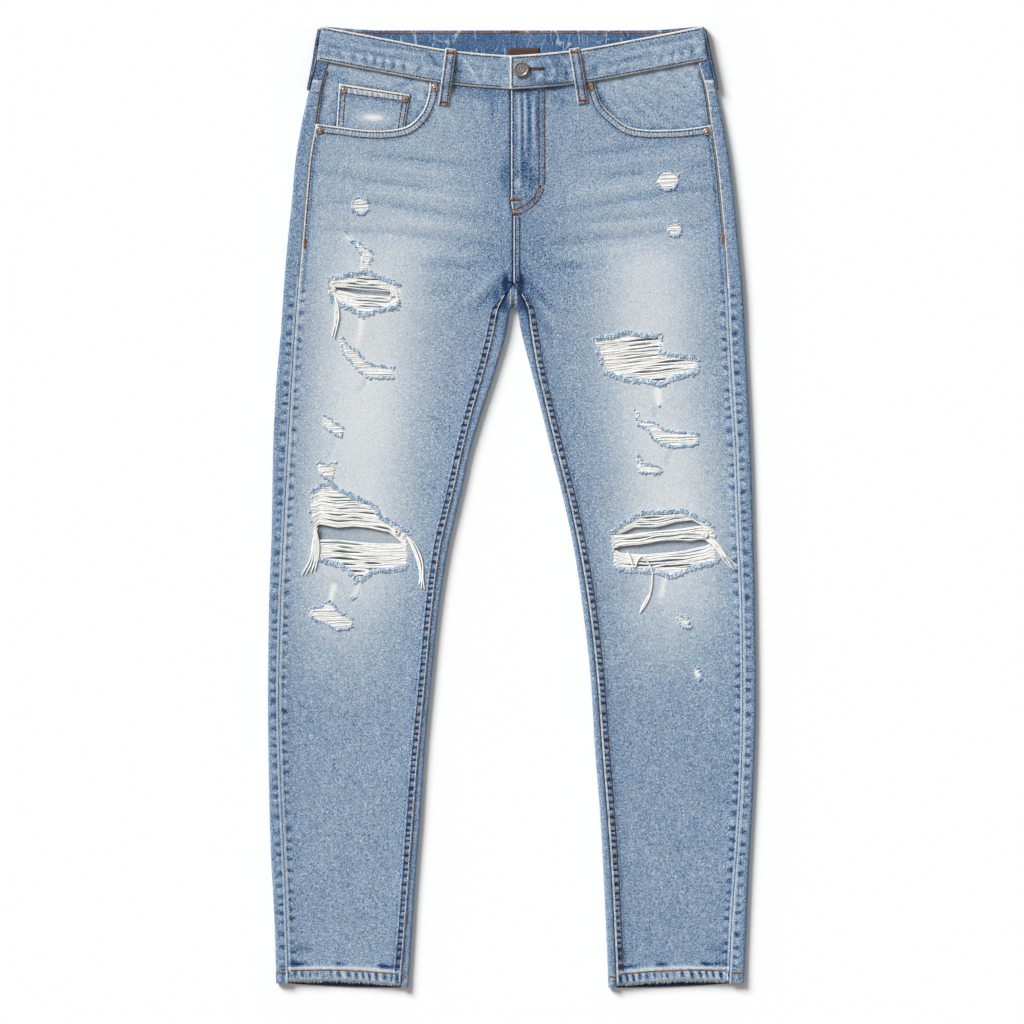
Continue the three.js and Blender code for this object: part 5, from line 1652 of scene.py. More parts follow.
def coin_pocket():
    across, down = share_grids(40, 52, 0.2, 0.3)
    x, y = coin_place(across, down)
    gone = ~is_inside(cell_centres(x), cell_centres(y), mouth_outline(RIGHT))
    snap_to(x, y, gone, MOUTH_LINE[RIGHT])
    from_top = down * COIN_TALL
    from_sides = np.minimum(across, 1 - across) * COIN_WIDE
    edge = np.minimum(from_top, from_sides)
    hem = (from_top < COIN_HEM) * 1.0
    patch = np.exp(-(((x + 150) / 20) ** 2) - (((y - 420) / 7) ** 2))
    tone = 0.6 + 0.14 * hem + 0.3 * patch
    # Painted shade with unworn indigo in the line below the hem band
    tone -= 0.16 * bell(from_top - COIN_HEM - 1.4, 1.6)
    height = coin_height(x, y) + band_rise(from_top, COIN_HEM, 0.35) - edge_drop(edge)
    frayed = np.exp(-(((x + 150) / 26) ** 4)) * (3.2 + 1.2 * np.sin(x / 2.3))
    worn = ((x + 150.5) / 13) ** 2 + ((y - 420.5 + 0.06 * (x + 150)) / 4.2) ** 2
    marks = cloth_marks(tone, np.minimum(from_top - frayed, from_sides),
                        0.7 * middle_of(from_top, COIN_HEM) * hem, uneven_count(x / 6),
                        5.4 * np.exp(-(worn**1.5)), NEAR + 1)
    return cloth_sheet("coin_cloth", x, y, height, marks, x, COIN_CLOTH, gone, flip=True)


# Belt loops

LOOP_WIDTH = 11.5
FRONT_LOOPS = {
    RIGHT: {"top": (-65.8, 494.5), "bottom": (-74, 433)},
    LEFT: {"top": (67, 495), "bottom": (77, 435)},
}
LOOP_BULGE = smooth_table(
    ["share", "rise"],
    [[0, 0.1], [0.1, 0.6], [0.35, 2], [0.6, 1.7], [0.72, 1.1], [0.86, 0.3], [1, 0]],
)
SIDE_LOOP_REACH = smooth_table(
    ["y", "right", "left"],
    [[450, -221.8, 223], [461, -219.6, 221.2], [481, -215.8, 217], [498, -213.2, 213.4],
     [516, -209.8, 209.8]],
)
SIDE_LOOP_RADIUS = 5.4
SIDE_LOOP_TURN = math.radians(55)


def loop_marks(across, down, length):
    """Marks of a belt loop from its shares across and down."""
    from_edge = np.minimum(across, 1 - across) * LOOP_WIDTH
    from_end = np.minimum(down, 1 - down) * length
    tone = 0.6 + 0.06 * np.sin(down * 19) - 0.2 * bell(from_edge - 3, 1)
    return cloth_marks(tone + 0.06 * bell(from_end - 5, 2), 1.5 * np.minimum(from_edge, from_end))


def loop_relief(across, down, length):
    from_edge = np.minimum(across, 1 - across) * LOOP_WIDTH
    from_end = np.minimum(down, 1 - down) * length
    # Two folds of the loop's cloth meet under its middle
    plump = 0.35 * np.sin(math.pi * across) ** 0.7 + 0.12 * np.cos(down * length / 1.9)
    return plump - edge_drop(np.minimum(from_edge, from_end), 1.4, 0.4)


def front_loop_place(side, across, down):
    (top_x, top_y), (low_x, low_y) = FRONT_LOOPS[side]["top"], FRONT_LOOPS[side]["bottom"]
    length = math.hypot(low_x - top_x, low_y - top_y)
    along_x, along_y = (low_x - top_x) / length, (low_y - top_y) / length
    reach = (across - 0.5) * LOOP_WIDTH
    x = mix(top_x, low_x, down) - along_y * reach
    y = mix(top_y, low_y, down) + along_x * reach
    panel = upper_height(side, x, y)
    bottom = band_bottom_front(x)
    over = smoothstep(bottom - 9, bottom - 1, y)
    carrier = mix(panel, np.maximum(panel, BAND_TOP_Z + 0.5), over)
    rise = LOOP_BULGE("rise", down) + loop_relief(across, down, length)
    return x, y, carrier + SEAM_GAP + LOOP_CLOTH + rise - 0.2


def front_loop(side):
    across, down = share_grids(54, 12)
    place = front_loop_place(side, across, down)
    return cloth_sheet(f"loop_front_{SIDE_NAMES[side]}", *place, loop_marks(across, down, 62),
                       across * LOOP_WIDTH, LOOP_CLOTH, flip=True)


def side_loop_place(side, across, down):
    y = mix(516.0, 450.0, down)
    turn = mix(-SIDE_LOOP_TURN, SIDE_LOOP_TURN, across)
    radius = SIDE_LOOP_RADIUS + 0.6 * loop_relief(across, down, 66) - 0.2
    centre_x = SIDE_LOOP_REACH(SIDE_NAMES[side], y) - side * SIDE_LOOP_RADIUS
    squeeze = 1 - 0.08 * smoothstep(468, 462, y)
    middle = (BAND_TOP_Z + SEAT_LIFT) / 2
    x = centre_x + side * radius * np.cos(turn)
    return x, y, middle - squeeze * radius * np.sin(turn)


def side_loop(side):
    across, down = share_grids(54, 14)
    place = side_loop_place(side, across, down)
    marks = cloth_marks(loop_marks(across, down, 66)["tone"] - 0.34)
    return cloth_sheet(f"loop_side_{SIDE_NAMES[side]}", *place, marks, across * LOOP_WIDTH,
                       LOOP_CLOTH, flip=side == LEFT)


def back_loop():
    across, down = share_grids(50, 12)
    x = CENTRE_X + (across - 0.5) * LOOP_WIDTH
    y = mix(513.0, 449.0, down)
    z = np.maximum(0.35 - 0.6 * loop_relief(across, down, 64), 0)
    return cloth_sheet("loop_back", x, y, z, loop_marks(across, down, 64), across * LOOP_WIDTH,
                       LOOP_CLOTH)


# Back pockets, patch pockets that lie on the table

POCKET_CENTRE_X = 108
POCKET_TOP_Y = 392
POCKET_HALF_TOP = 76
POCKET_HALF_LOW = 62
POCKET_SIDE_DROP = 134
POCKET_POINT_DROP = 160
POCKET_TILT = 0.06
POCKET_HEM = 22
POCKET_WIDE, POCKET_TALL = 138, 150


def pocket_place(side, across, down):
    """A place on a back pocket, from side to side and from its top to its pointed end."""
    reach = 2 * across - 1
    half = mix(POCKET_HALF_TOP, POCKET_HALF_LOW, down)
    bottom = mix(POCKET_POINT_DROP, POCKET_SIDE_DROP, np.abs(reach))
    x = reach * half
    y = -bottom * down
    return CENTRE_X + side * POCKET_CENTRE_X + x, POCKET_TOP_Y + y + side * POCKET_TILT * x


def back_pocket(side):
    across, down = share_grids(44, 48, 0.3, 0.3)
    x, y = pocket_place(side, across, down)
    from_side = np.minimum(across, 1 - across) * POCKET_WIDE
    from_top, from_low = down * POCKET_TALL, (1 - down) * POCKET_TALL
    edge = np.minimum(np.minimum(from_side, from_top), from_low)
    hollow = 0.1 * (1 - np.cos(x / 13) * np.cos(y / 17)) * smoothstep(0, 8, edge)
    tone = 0.56 + 0.12 * np.exp(-(((across - 0.5) / 0.3) ** 2 + ((down - 0.5) / 0.32) ** 2))
    # Painted shade with unworn indigo in the line below the hem
    tone -= 0.12 * bell(from_top - POCKET_HEM - 1.5, 1.6)
    marks = cloth_marks(tone, edge, 0.5 * middle_of(from_side, 9) * (from_side < 9),
                        uneven_count(y / 7.5))
    return cloth_sheet(f"back_pocket_cloth_{SIDE_NAMES[side]}", x, y,
                       edge_drop(edge) * 0.8 + hollow, marks, x, DENIM)


# The label on the inner face of the back waistband, bare

LABEL = {"left": -4.5, "right": 30, "bottom": 472, "top": 495.5}
LABEL_CLOTH = 0.6


def waist_label():
    across, up = share_grids(10, 14)
    x = mix(LABEL["left"], LABEL["right"], across)
    y = mix(LABEL["bottom"], LABEL["top"], up)
    top = SEAT_LIFT + BAND_CLOTH + SEAM_GAP + LABEL_CLOTH
    z = top + 0.15 * np.sin(x / 6) * np.sin(math.pi * up)
    return cloth_sheet("label_patch", x, y, z, {}, x, LABEL_CLOTH,
                       skins=[LABEL_SKIN, LABEL_SKIN])


# Button and rivets, turned from profiles of radius and height

BUTTON_PLACE = (10, 472)
BUTTON_SHELL = [(0, 0), (4.6, 0), (4.6, 1.3), (7.7, 1.4), (8.4, 1.9), (8.5, 2.3), (8.35, 2.8),
                (7.9, 3.15), (7.2, 3.3), (6.6, 3.25), (6.2, 3.0), (5.9, 2.75), (5.3, 2.7),
                (4.2, 2.78), (3, 2.9), (2.5, 2.88), (2.1, 2.75), (1.5, 2.6), (1.1, 2.75),
                (0.6, 2.9), (0, 2.92)]
RIVET_SHELL = [(0, 0), (4.2, 0), (4.35, 0.25), (4.2, 0.5), (3.7, 0.75), (3.1, 0.9), (2.4, 0.82),
               (1.9, 0.66), (1.6, 0.72), (1.35, 1.05), (1.1, 1.26), (0.6, 1.38), (0, 1.4)]
RIVETS = {
    "right_inner": (RIGHT, -83.5, 452, "panel"),
    "right_outer": (RIGHT, -207.3, 406.5, "panel"),
    "left_inner": (LEFT, 84.2, 453, "panel"),
    "left_outer": (LEFT, 210.2, 404.5, "panel"),
    "coin_outer": (RIGHT, -181.8, 450.5, "coin"),
    "coin_inner": (RIGHT, -115.5, 440.3, "coin"),
}


def turned(name, profile, centre, material, steps):
    shape = bmesh.new()
    rim = [shape.verts.new((radius * MM, 0, height * MM)) for radius, height in profile]
    edges = [shape.edges.new(pair) for pair in zip(rim[:-1], rim[1:])]
    bmesh.ops.spin(shape, geom=rim + edges, axis=(0, 0, 1), cent=(0, 0, 0),
                   angle=2 * math.pi, steps=steps, use_merge=True)
    bmesh.ops.remove_doubles(shape, verts=shape.verts, dist=1e-6)
    bmesh.ops.recalc_face_normals(shape, faces=shape.faces)
    bmesh.ops.translate(shape, verts=shape.verts, vec=np.array(centre) * MM)
    return add_object(name, to_mesh(name, shape), [material])


def rivet(name):
    side, x, y, carrier = RIVETS[name]
    ground = coin_height(x, y) + 0.35 if carrier == "coin" else front_surface(side, x, y)[0]
    centre = (x, y, float(ground) - 0.15)
    return turned(f"rivet_shell_{name}", RIVET_SHELL, centre, RIVET_METAL, 28)


# Threads: many fine strands in one mesh

def strands(name, routes, radius, material, radii=None):
    """Round strands along routes of places in millimetres, as one mesh."""
    curve = bpy.data.curves.new(name, "CURVE")
    curve.dimensions = "3D"
    curve.bevel_depth = radius * MM
    curve.bevel_resolution = 0
    curve.use_fill_caps = True
    for index, route in enumerate(routes):
        route = np.asarray(route, float)
        spline = curve.splines.new("POLY")
        spline.points.add(len(route) - 1)
        flat = np.concatenate([route * MM, np.ones((len(route), 1))], axis=1)
        spline.points.foreach_set("co", flat.ravel())
        if radii is not None:
            size = np.broadcast_to(radii[index], (len(route),))
            spline.points.foreach_set("radius", size.astype(np.float32))
    holder = bpy.data.objects.new(name + "_curve", curve)
    bpy.context.scene.collection.objects.link(holder)
    bpy.context.view_layer.update()
    depsgraph = bpy.context.evaluated_depsgraph_get()
    mesh = bpy.data.meshes.new_from_object(holder.evaluated_get(depsgraph))
    mesh.materials.clear()
    bpy.data.objects.remove(holder)
    return add_object(name, mesh, [material])


def line_z(side, line):
    """Places of a line of x, y on the front panel, hem rise included."""
    line = np.asarray(line, float)
    height, _ = front_surface(side, line[:, 0], line[:, 1])
    lifted = line[:, 1] + front_lift(side, line[:, 0], line[:, 1])
    return np.stack([line[:, 0], lifted, height], axis=1)


def stitch_routes(places, pitch, length, sink=0.22, rise=0.2):
    """Stitches along a line of places, each a short arc that dips into the cloth."""
    places = resample(places, 0.4)
    run = np.concatenate([[0], np.cumsum(np.linalg.norm(np.diff(places, axis=0), axis=1))])
    routes = []
    for start in np.arange(0.4, run[-1] - length, pitch):
        begin = start + random.normal(0, 0.06 * pitch)
        at = begin + length * np.array([0, 0.25, 0.75, 1])
        route = np.stack([np.interp(at, run, places[:, k]) for k in range(3)], axis=1)
        route[:, 2] += [-sink, rise, rise, -sink]
        routes.append(route)
    return routes


def bar_tack(centre, half, direction, count=9, width=2.2, rise=0.3):
    """Close zigzag sewing across a place."""
    centre = np.array(centre, float)
    along = np.array([*direction, 0.0]) / math.hypot(*direction)
    across = np.array([-along[1], along[0], 0.0])
    route = []
    for index in range(count * 2 + 1):
        share = index / (count * 2) * 2 - 1
        side = (1 if index % 2 else -1) * width / 2
        route.append(centre + along * half * share + across * side + [0, 0, rise])
    return route


def outline_range(outline, x):
    """Lowest and highest y of an outline at each x."""
    low, high = np.full(len(x), np.nan), np.full(len(x), np.nan)
    for (x0, y0), (x1, y1) in zip(outline, np.roll(outline, -1, axis=0)):
        if x0 == x1:
            continue
        t = (x - x0) / (x1 - x0)
        hit = (t >= 0) & (t <= 1)
        y = y0 + t * (y1 - y0)
        low = np.where(hit & ~(low < y), y, low)
        high = np.where(hit & ~(high > y), y, high)
    return low, high


def thread_bands(rip, x, low, high):
    """The bands of threads across a rip, each as its upper and its lower line."""
    lines = []
    for upper, lower in rip["gaps"]:
        lines.append(np.interp(x, *np.array(upper, float).T))
        lines.append(np.interp(x, *np.array(lower, float).T))
    if not lines:
        tilt = rip["tilt"] * (x - x.mean()) + 2 * np.sin((x - x[0]) / 45)
        return [(tilt + np.nanmax(high - tilt), tilt + np.nanmin(low - tilt))]
    first, last = lines[0], lines[-1]
    above = mix(first, first.mean(), 0.6)
    below = mix(last, last.mean(), 0.6)
    top = above + np.nanmax(high - above)
    bottom = below + np.nanmin(low - below)
    edges = [top, *lines, bottom]
    return list(zip(edges[::2], edges[1::2]))


def slits_between(x, tall, through):
    """Lens-shaped slits between the strands: depth, middle, half width and opening."""
    wide = x[-1] - x[0]
    slits = []
    depth = random.uniform(2.2, 4)
    while depth < tall - 1.5:
        middle = x[0] + wide * random.uniform(0.25, 0.75)
        half = wide * random.uniform(0.1, 0.34)
        opening = random.uniform(0.6, 2.0) if through else random.uniform(0.05, 0.35)
        slits.append((depth, middle, half, opening))
        depth += random.uniform(2.4, 5)
    return slits


def spans_inside(within):
    """The runs of places inside a rip, each with one more place at either end."""
    for span in np.split(np.arange(len(within)), np.flatnonzero(np.diff(within)) + 1):
        first, last = max(span[0] - 1, 0), min(span[-1] + 2, len(within))
        if within[span[0]] and last - first >= 2:
            yield slice(first, last)


def lay_strand(side, x, y, through, layer, phase):
    """A strand over the cloth. It sags where the rip goes through, and its ends go under."""
    cloth = upper_height(side, x, y)
    inward = np.minimum(np.arange(len(x)), np.arange(len(x))[::-1])
    sag = 0.35 * smoothstep(0, 5, inward) * through
    lift = 0.5 * layer + random.uniform(-0.16, 0.16)
    lift = lift + 0.1 * np.sin(x / random.uniform(3, 8) + phase)
    level = cloth - (0.55 if through else 0.0) - sag + lift
    level[[0, -1]] = cloth[[0, -1]] - (0.75 if through else 0.4)
    return np.stack([x, y, level], axis=1)


def rip_threads(rip):
    """Weft left across a rip: level strands in bundles, which part in lens-shaped slits."""
    torn, side, through = rip["torn"], rip["side"], rip["through"]
    x = np.arange(torn[:, 0].min() - 0.6, torn[:, 0].max() + 1.6, 1.9)
    low, high = outline_range(torn, x)
    known = ~np.isnan(low)
    low = np.interp(x, x[known], low[known])
    high = np.interp(x, x[known], high[known])
    routes, radii = [], []
    for top, bottom in thread_bands(rip, x, low, high):
        tall = float(np.max(top - bottom))
        count = max(3, int(tall / 1.02))
        slits = slits_between(x, tall, through)
        for layer, share in [(k, s) for k in (0, 1) for s in (np.arange(count) + 0.5) / count]:
            if layer and random.random() < 0.72:
                continue
            y = mix(top, bottom, share)
            depth = share * tall
            for at, middle, half, opening in slits:
                lens = np.clip(1 - ((x - middle) / half) ** 2, 0, 1)
                push = opening * lens * np.exp(-np.abs(depth - at) / 1.6)
                y = y + (push if depth < at else -push)
            phase, wave = random.uniform(0, 6.3), random.uniform(3, 11)
            y = y + random.uniform(0.08, 0.3) * (1 + 1.4 * layer) * np.sin(x / wave + phase)
            for span in spans_inside((y < high + 0.5) & (y > low - 0.5)):
                routes.append(lay_strand(side, x[span], y[span], through, layer, phase))
                radii.append(random.uniform(0.78, 1.12))
    return routes, radii


def outward_normals(line, outline):
    towards = np.roll(line, -1, axis=0) - np.roll(line, 1, axis=0)
    normal = np.stack([towards[:, 1], -towards[:, 0]], axis=1)
    normal /= np.linalg.norm(normal, axis=1)[:, None] + 1e-9
    test = line + normal * 0.8
    flip = is_inside(test[:, 0], test[:, 1], outline)
    normal[flip] *= -1
    return normal


def fringe(rip):
    """Frayed warp along the upper and lower edges of a rip, in short curled tufts, and a few
    loose cotton ends at its sides."""
    torn, side = rip["torn"], rip["side"]
    spacing = 0.75 if rip["through"] else 0.95
    size = 5.2 if rip["through"] else 3.4
    line = resample(np.vstack([torn, torn[:1]]), spacing)[:-1]
    smooth = (np.roll(line, 2, axis=0) + line + np.roll(line, -2, axis=0)) / 3
    normal = outward_normals(smooth, torn)
    tufts, ends = [], []
    for (x, y), (nx, ny) in zip(line, normal):
        steep = abs(ny) if rip["threads"] else 0.4 * abs(ny)
        if random.random() > smoothstep(0.15, 0.6, steep):
            if rip["threads"] and random.random() < 0.3:
                t = np.linspace(0, 1, 5)
                reach = random.uniform(1, 3.2)
                px = x + nx * reach * (t - 0.3) + random.normal(0, 0.2)
                py = y + ny * reach * (t - 0.3) + random.normal(0, 0.6) * t
                ends.append(np.stack([px, py, upper_height(side, px, py) + 0.25
                                      + 0.3 * np.sin(3 * t)], axis=1))
            continue
        length = size * random.uniform(0.5, 1.1)
        lean = random.normal(0, 0.4)
        curl = random.uniform(0.8, 1.7) * random.choice([-1, 1])
        t = np.linspace(0, 1, 7)
        out = length * np.sin(math.pi * 0.7 * t) - 0.9
        sideways = lean * length * t + curl * np.sin(math.pi * random.uniform(1, 1.7) * t)
        px = x + nx * out - ny * sideways + random.normal(0, 0.35)
        py = y + ny * out + nx * sideways + random.normal(0, 0.35)
        rise = 0.1 + random.uniform(0.7, 1.25) * np.sin(math.pi * t)
        tufts.append(np.stack([px, py, upper_height(side, px, py) + rise - 0.2], axis=1))
    return tufts, ends


TASSELS = [
    {
        "name": "right_thigh_tassel", "side": RIGHT, "head": (-190.5, 226), "drift": 0.8,
        "knots": [(-192, 235, 4, 1.8), (-130, 229, 5, 2)],
        "strands": [[(-188, 213), (-188, 200), (-192, 181.5)],
                    [(-190.5, 212), (-191, 198), (-194, 184)],
                    [(-189, 214), (-190.5, 204), (-189.5, 192)]],
    },
    {
        "name": "right_knee_outer_tassel", "side": RIGHT, "head": (-212.5, -22), "drift": 1.1,
        "knots": [(-211, -24, 5, 2)],
        "strands": [[(-215, -40), (-217.5, -56), (-227, -74)],
                    [(-213.5, -41), (-215.5, -57), (-222.5, -73.5)],
                    [(-211.5, -42), (-212.5, -58), (-217, -71)],
                    [(-210, -42), (-210.5, -58), (-212.5, -69)]],
    },
    {
        "name": "right_knee_inner_tassel", "side": RIGHT, "head": (-114, -31), "drift": 0.8,
        "knots": [(-124, -26, 7, 4.6), (-116, -31, 5, 2.6)],
        "strands": [[(-104.8, -42.5), (-98.3, -60), (-96, -77), (-94.5, -89)],
                    [(-106, -42.5), (-99.6, -60), (-97.6, -77), (-97.5, -88)],
                    [(-107, -43), (-101, -60), (-99, -76), (-100.4, -84)]],
    },
    {
        "name": "left_knee_inner_tassel", "side": LEFT, "head": (124.2, -47.5), "drift": 0.35,
        "knots": [], "frayed": [(148.6, -95), (144, -104), (138, -115)],
        "strands": [[(128, -55), (130.4, -63), (133, -64.4), (135.6, -58), (140.6, -53.2),
                     (146.6, -59.4), (151.2, -70), (151.2, -83), (149, -95)]],
    },
    {
        "name": "left_knee_outer_tassel", "side": LEFT, "head": (213, -35), "drift": 1,
        "knots": [(208.5, -30, 8, 3), (215, -38, 5, 2.2)],
        "strands": [[(220.5, -40), (230, -52), (243, -64)], [(219.5, -41.5), (230, -54), (239.5, -68)],
                    [(219, -43), (227, -55), (236, -66)]],
    },
]
STRAND_COPIES = 4


def tassel(one):
    side, (hx, hy) = one["side"], one["head"]
    routes, radii = [], []
    for strand in one["strands"]:
        for _ in range(STRAND_COPIES):
            p = catmull_rom([(hx, hy), *strand], 6)
            t = np.linspace(0, 1, len(p))
            drift = random.normal(0, one["drift"], 2) * [1, 0.5]
            p = p + np.outer(np.sin(math.pi * np.minimum(t * 1.4, 1)) ** 0.7, drift)
            wave = random.uniform(2, 4)
            p[:, 0] += 0.35 * np.sin(t * len(p) / wave + random.uniform(0, 6)) * t
            level = upper_height(side, p[:, 0], p[:, 1]) + 0.6 + 0.5 * random.random()
            level = level - 0.9 * np.exp(-t * 12)
            routes.append(np.column_stack([p, level]))
            radii.append(np.interp(t, [0, 0.85, 1], [1, 0.95, 0.45]))
    if "frayed" in one:
        for across in np.linspace(-1.7, 1.7, 6):
            p = catmull_rom(one["frayed"], 5)
            t = np.linspace(0, 1, len(p))
            p[:, 0] += across * np.sin(math.pi * mix(0.2, 0.9, t)) + random.normal(0, 0.3) * t
            level = upper_height(side, p[:, 0], p[:, 1]) + 0.7
            routes.append(np.column_stack([p, level]))
            radii.append(np.interp(t, [0, 0.8, 1], [0.7, 1, 0.5]))
    knot = []
    for middle_x, middle_y, count, size in one["knots"]:
        for _ in range(count):
            turn = random.uniform(0, 6.3)
            angle = turn + np.linspace(0, random.uniform(3, 6), 12)
            wide, tall = random.uniform(0.45, 1, 2) * size
            kx = middle_x + wide * np.cos(angle) + random.normal(0, 0.28 * size)
            ky = middle_y + tall * np.sin(angle) + random.normal(0, 0.28 * size)
            rise = 0.5 + 0.6 * np.sin(np.linspace(0, math.pi, 12))
            knot.append(np.column_stack([kx, ky, upper_height(side, kx, ky) + rise]))
    radii += [0.6] * len(knot)
    return strands(one["name"] + "_strands", routes + knot, 0.72, COTTON, radii=radii)


# Sewing

def offset_line(line, distance):
    """The line moved sideways, to the left of its direction."""
    line = resample(line, 1.5)
    towards = np.gradient(line, axis=0)
    normal = np.stack([-towards[:, 1], towards[:, 0]], axis=1)
    normal /= np.linalg.norm(normal, axis=1)[:, None]
    return line + normal * distance


def line_of(*axes):
    """A line of places from its x, y and z, where one number holds for the whole line."""
    return np.column_stack(np.broadcast_arrays(*axes)).astype(float)


def seam_row(side, seam, reach, low, high):
    """A row that keeps its distance from a seam of the front panel."""
    y = np.arange(low, high, 3.0)
    return line_z(side, line_of(seam(side, y) - side * reach, y))


# The thread of each kind of row, and its radius
THREADS = {"copper": (COPPER, 0.6), "brown": (BROWN, 0.64), "cream": (CREAM_THREAD, 0.52),
           "orange": (ORANGE, 0.62), "hem": (COPPER, 0.8)}
HEM_ROW_Y = HEM_BOTTOM + 12.3
# Where the ends of the hem's row are measured
HEM_ENDS_Y = -507
BAND_ROWS = (2.6, BAND_HEIGHT - 2.6)


class Sewing:
    """The rows of one part of the garment, by thread."""

    def __init__(self, name):
        self.name = name
        self.routes = {thread: [] for thread in THREADS}

    def row(self, thread, places, pitch, length, **dips):
        self.routes[thread] += stitch_routes(places, pitch, length, **dips)

    def under_row(self, x, y, level):
        """A row on the underside at a level, just bedded in the cloth."""
        self.row("copper", line_of(x, y, level), 3.8, 2.8, sink=-0.15, rise=-0.1)

    def bar(self, *place, **shape):
        self.routes["orange"].append(bar_tack(*place, **shape))

    def sew(self):
        for thread, routes in self.routes.items():
            if routes:
                material, radius = THREADS[thread]
                piece = strands(f"{self.name}_{thread}_stitches", routes, radius, material)
                ride(piece, "topstitch")


def leg_sewing(rows, side):
    """Rows of one front panel: pocket mouth, side seam, inside-leg seam and hem."""
    for reach in (2.3, 8.2):
        # The mouth's own side of the panel lies on opposite hands of its line
        line = offset_line(MOUTH_LINE[side], -side * reach)
        keep = (line[:, 1] < 470) & (side * line[:, 0] < side * side_seam(side, line[:, 1]) - 1)
        rows.row("brown", line_z(side, line[keep]), 3.3, 2.3)
    low = 288 if side == RIGHT else 293
    rows.row("brown", seam_row(side, side_seam, 2.4, low, 400), 3.4, 2.4)
    y = np.arange(414.0, 472, 3)
    x = side_seam(side, y) - side * 2.4
    rows.row("brown", line_of(x, y, facing_surface(side, x, y)[0]), 3.4, 2.4)
    y = low - 4
    rows.bar(line_z(side, [(side_seam(side, y) - side * 2.4, y)])[0], 5.5, (0.05, 1))
    rows.row("cream", seam_row(side, inside_seam, -1.9, HEM_BOTTOM + 3, 232), 3.2, 2.6, rise=0.24)
    y = np.arange(HEM_BOTTOM + 15, 226, 3.0)
    x = inside_seam(side, y) + side * (fell_width(y) - 1.3)
    rows.row("brown", line_z(side, line_of(x, y)), 3.2, 2.3)
    outer, outer_fold, inner_fold, inner = (
        float(line(side, HEM_ENDS_Y)) for line in (side_seam, outer_edge, inner_edge, inside_seam))
    x = np.arange(*sorted([outer - side * 2, inner + side * 2]), 3.0)
    rows.row("hem", line_z(side, line_of(x, HEM_ROW_Y)), 3.3, 2.9)
    for ends in ((outer + side, outer_fold - side), (inner_fold + side, inner - side)):
        x = np.linspace(*sorted(ends), 9)
        y = np.full(9, HEM_ROW_Y)
        z = upper_height(side, x, y) + 0.35
        rows.row("hem", line_of(x, y + hem_lift(side, x, y), z), 3.3, 2.9)


def front_sewing():
    rows = Sewing("front")
    for side in SIDES:
        leg_sewing(rows, side)
    for line in FLY_LINE.values():
        high = line[:, 1] > 345
        rows.row("brown", line_z(LEFT, line[high]), 3.2, 2.5)
        rows.row("hem", line_z(LEFT, line[~high]), 3.2, 2.7)
    y = np.arange(322.0, 450, 3)
    rows.row("brown", line_z(LEFT, line_of(centre_front(y) + 2.4, y)), 3.6, 2.2)
    for reach in (2.1, 6.4):
        y = np.arange(243.0, 316, 3)
        rows.row("brown", line_z(LEFT, line_of(centre_front(y) + reach, y)), 3.2, 2.4)
        y = np.arange(219.0, 238, 3)
        x = np.full(len(y), reach - 4.4 + 0.4 * reach)
        rows.row("cream", line_of(x, y, upper_height(LEFT, x, y)), 3.2, 2.5)
    for x, y, half, direction in ((3.4, 332, 5.4, (1, 0.02)), (29.5, 346, 1.6, (0, 1)),
                                  (3.0, 316.5, 3.4, (1, 0))):
        rows.bar(line_z(LEFT, [(x, y)])[0], half, direction)
    return rows


def band_line(depth, start, end):
    """A row along the waistband's front at a depth below its upper edge."""
    x = np.arange(start, end, 2.0)
    y = band_edge("front", np.abs(x)) - depth
    wide = x * mix(1, BAND_SPREAD, depth / BAND_HEIGHT)
    edge = min(depth, BAND_HEIGHT - depth)
    relief = band_relief(wide, depth + 0 * x, edge + 0 * x)[0]
    return line_of(wide, y, band_front_z(x) + relief)


def band_sewing():
    rows = Sewing("band")
    for depth in BAND_ROWS:
        rows.row("brown", band_line(depth, -203, -8), 3.6, 2.5)
        rows.row("brown", band_line(depth, 0.6, 203), 3.6, 2.5)
    depth = np.linspace(*BAND_ROWS, 12)
    x = np.full(12, LAP_END_X + 2.8)
    relief = band_relief(x, depth, np.minimum(depth, 2.8))[0]
    lap = line_of(x, band_edge("front", 0.5) - depth, LAP_TOP_Z + relief)
    rows.row("brown", lap, 3.4, 2.4)
    # Along the back band, on the inner face and on the outer one
    x = np.arange(-200.0, 201, 3)
    for depth in BAND_ROWS:
        y = band_edge("back", np.abs(x)) - depth
        wide = x * mix(1, BAND_SPREAD, depth / BAND_HEIGHT)
        rows.row("copper", line_of(wide, y, SEAT_LIFT + BAND_CLOTH), 3.4, 2.6)
        rows.row("copper", line_of(wide, y, SEAT_LIFT), 3.6, 2.6, sink=-0.2, rise=-0.15)
    rows.bar((3.4, band_edge("back", 3.4) - 0.9, SEAT_LIFT + BAND_CLOTH), 5.4, (1, 0))
    return rows


def loop_sewing():
    rows = Sewing("loop")
    down = np.linspace(0.02, 0.98, 40)
    for side in SIDES:
        for across in (0.2, 0.8):
            line = line_of(*front_loop_place(side, across + 0 * down, down))
            rows.row("brown", line, 3.2, 2.2)
            line = line_of(*side_loop_place(side, across + 0 * down, down))
            rows.row("brown", line, 3.2, 2.2, sink=0.1, rise=0.1)
        for at in (0.07, 0.93):
            centre = np.array(front_loop_place(side, np.array(0.5), np.array(at)), float)
            rows.bar(centre, 4.8, (1, 0.02 * side), 10)
    return rows


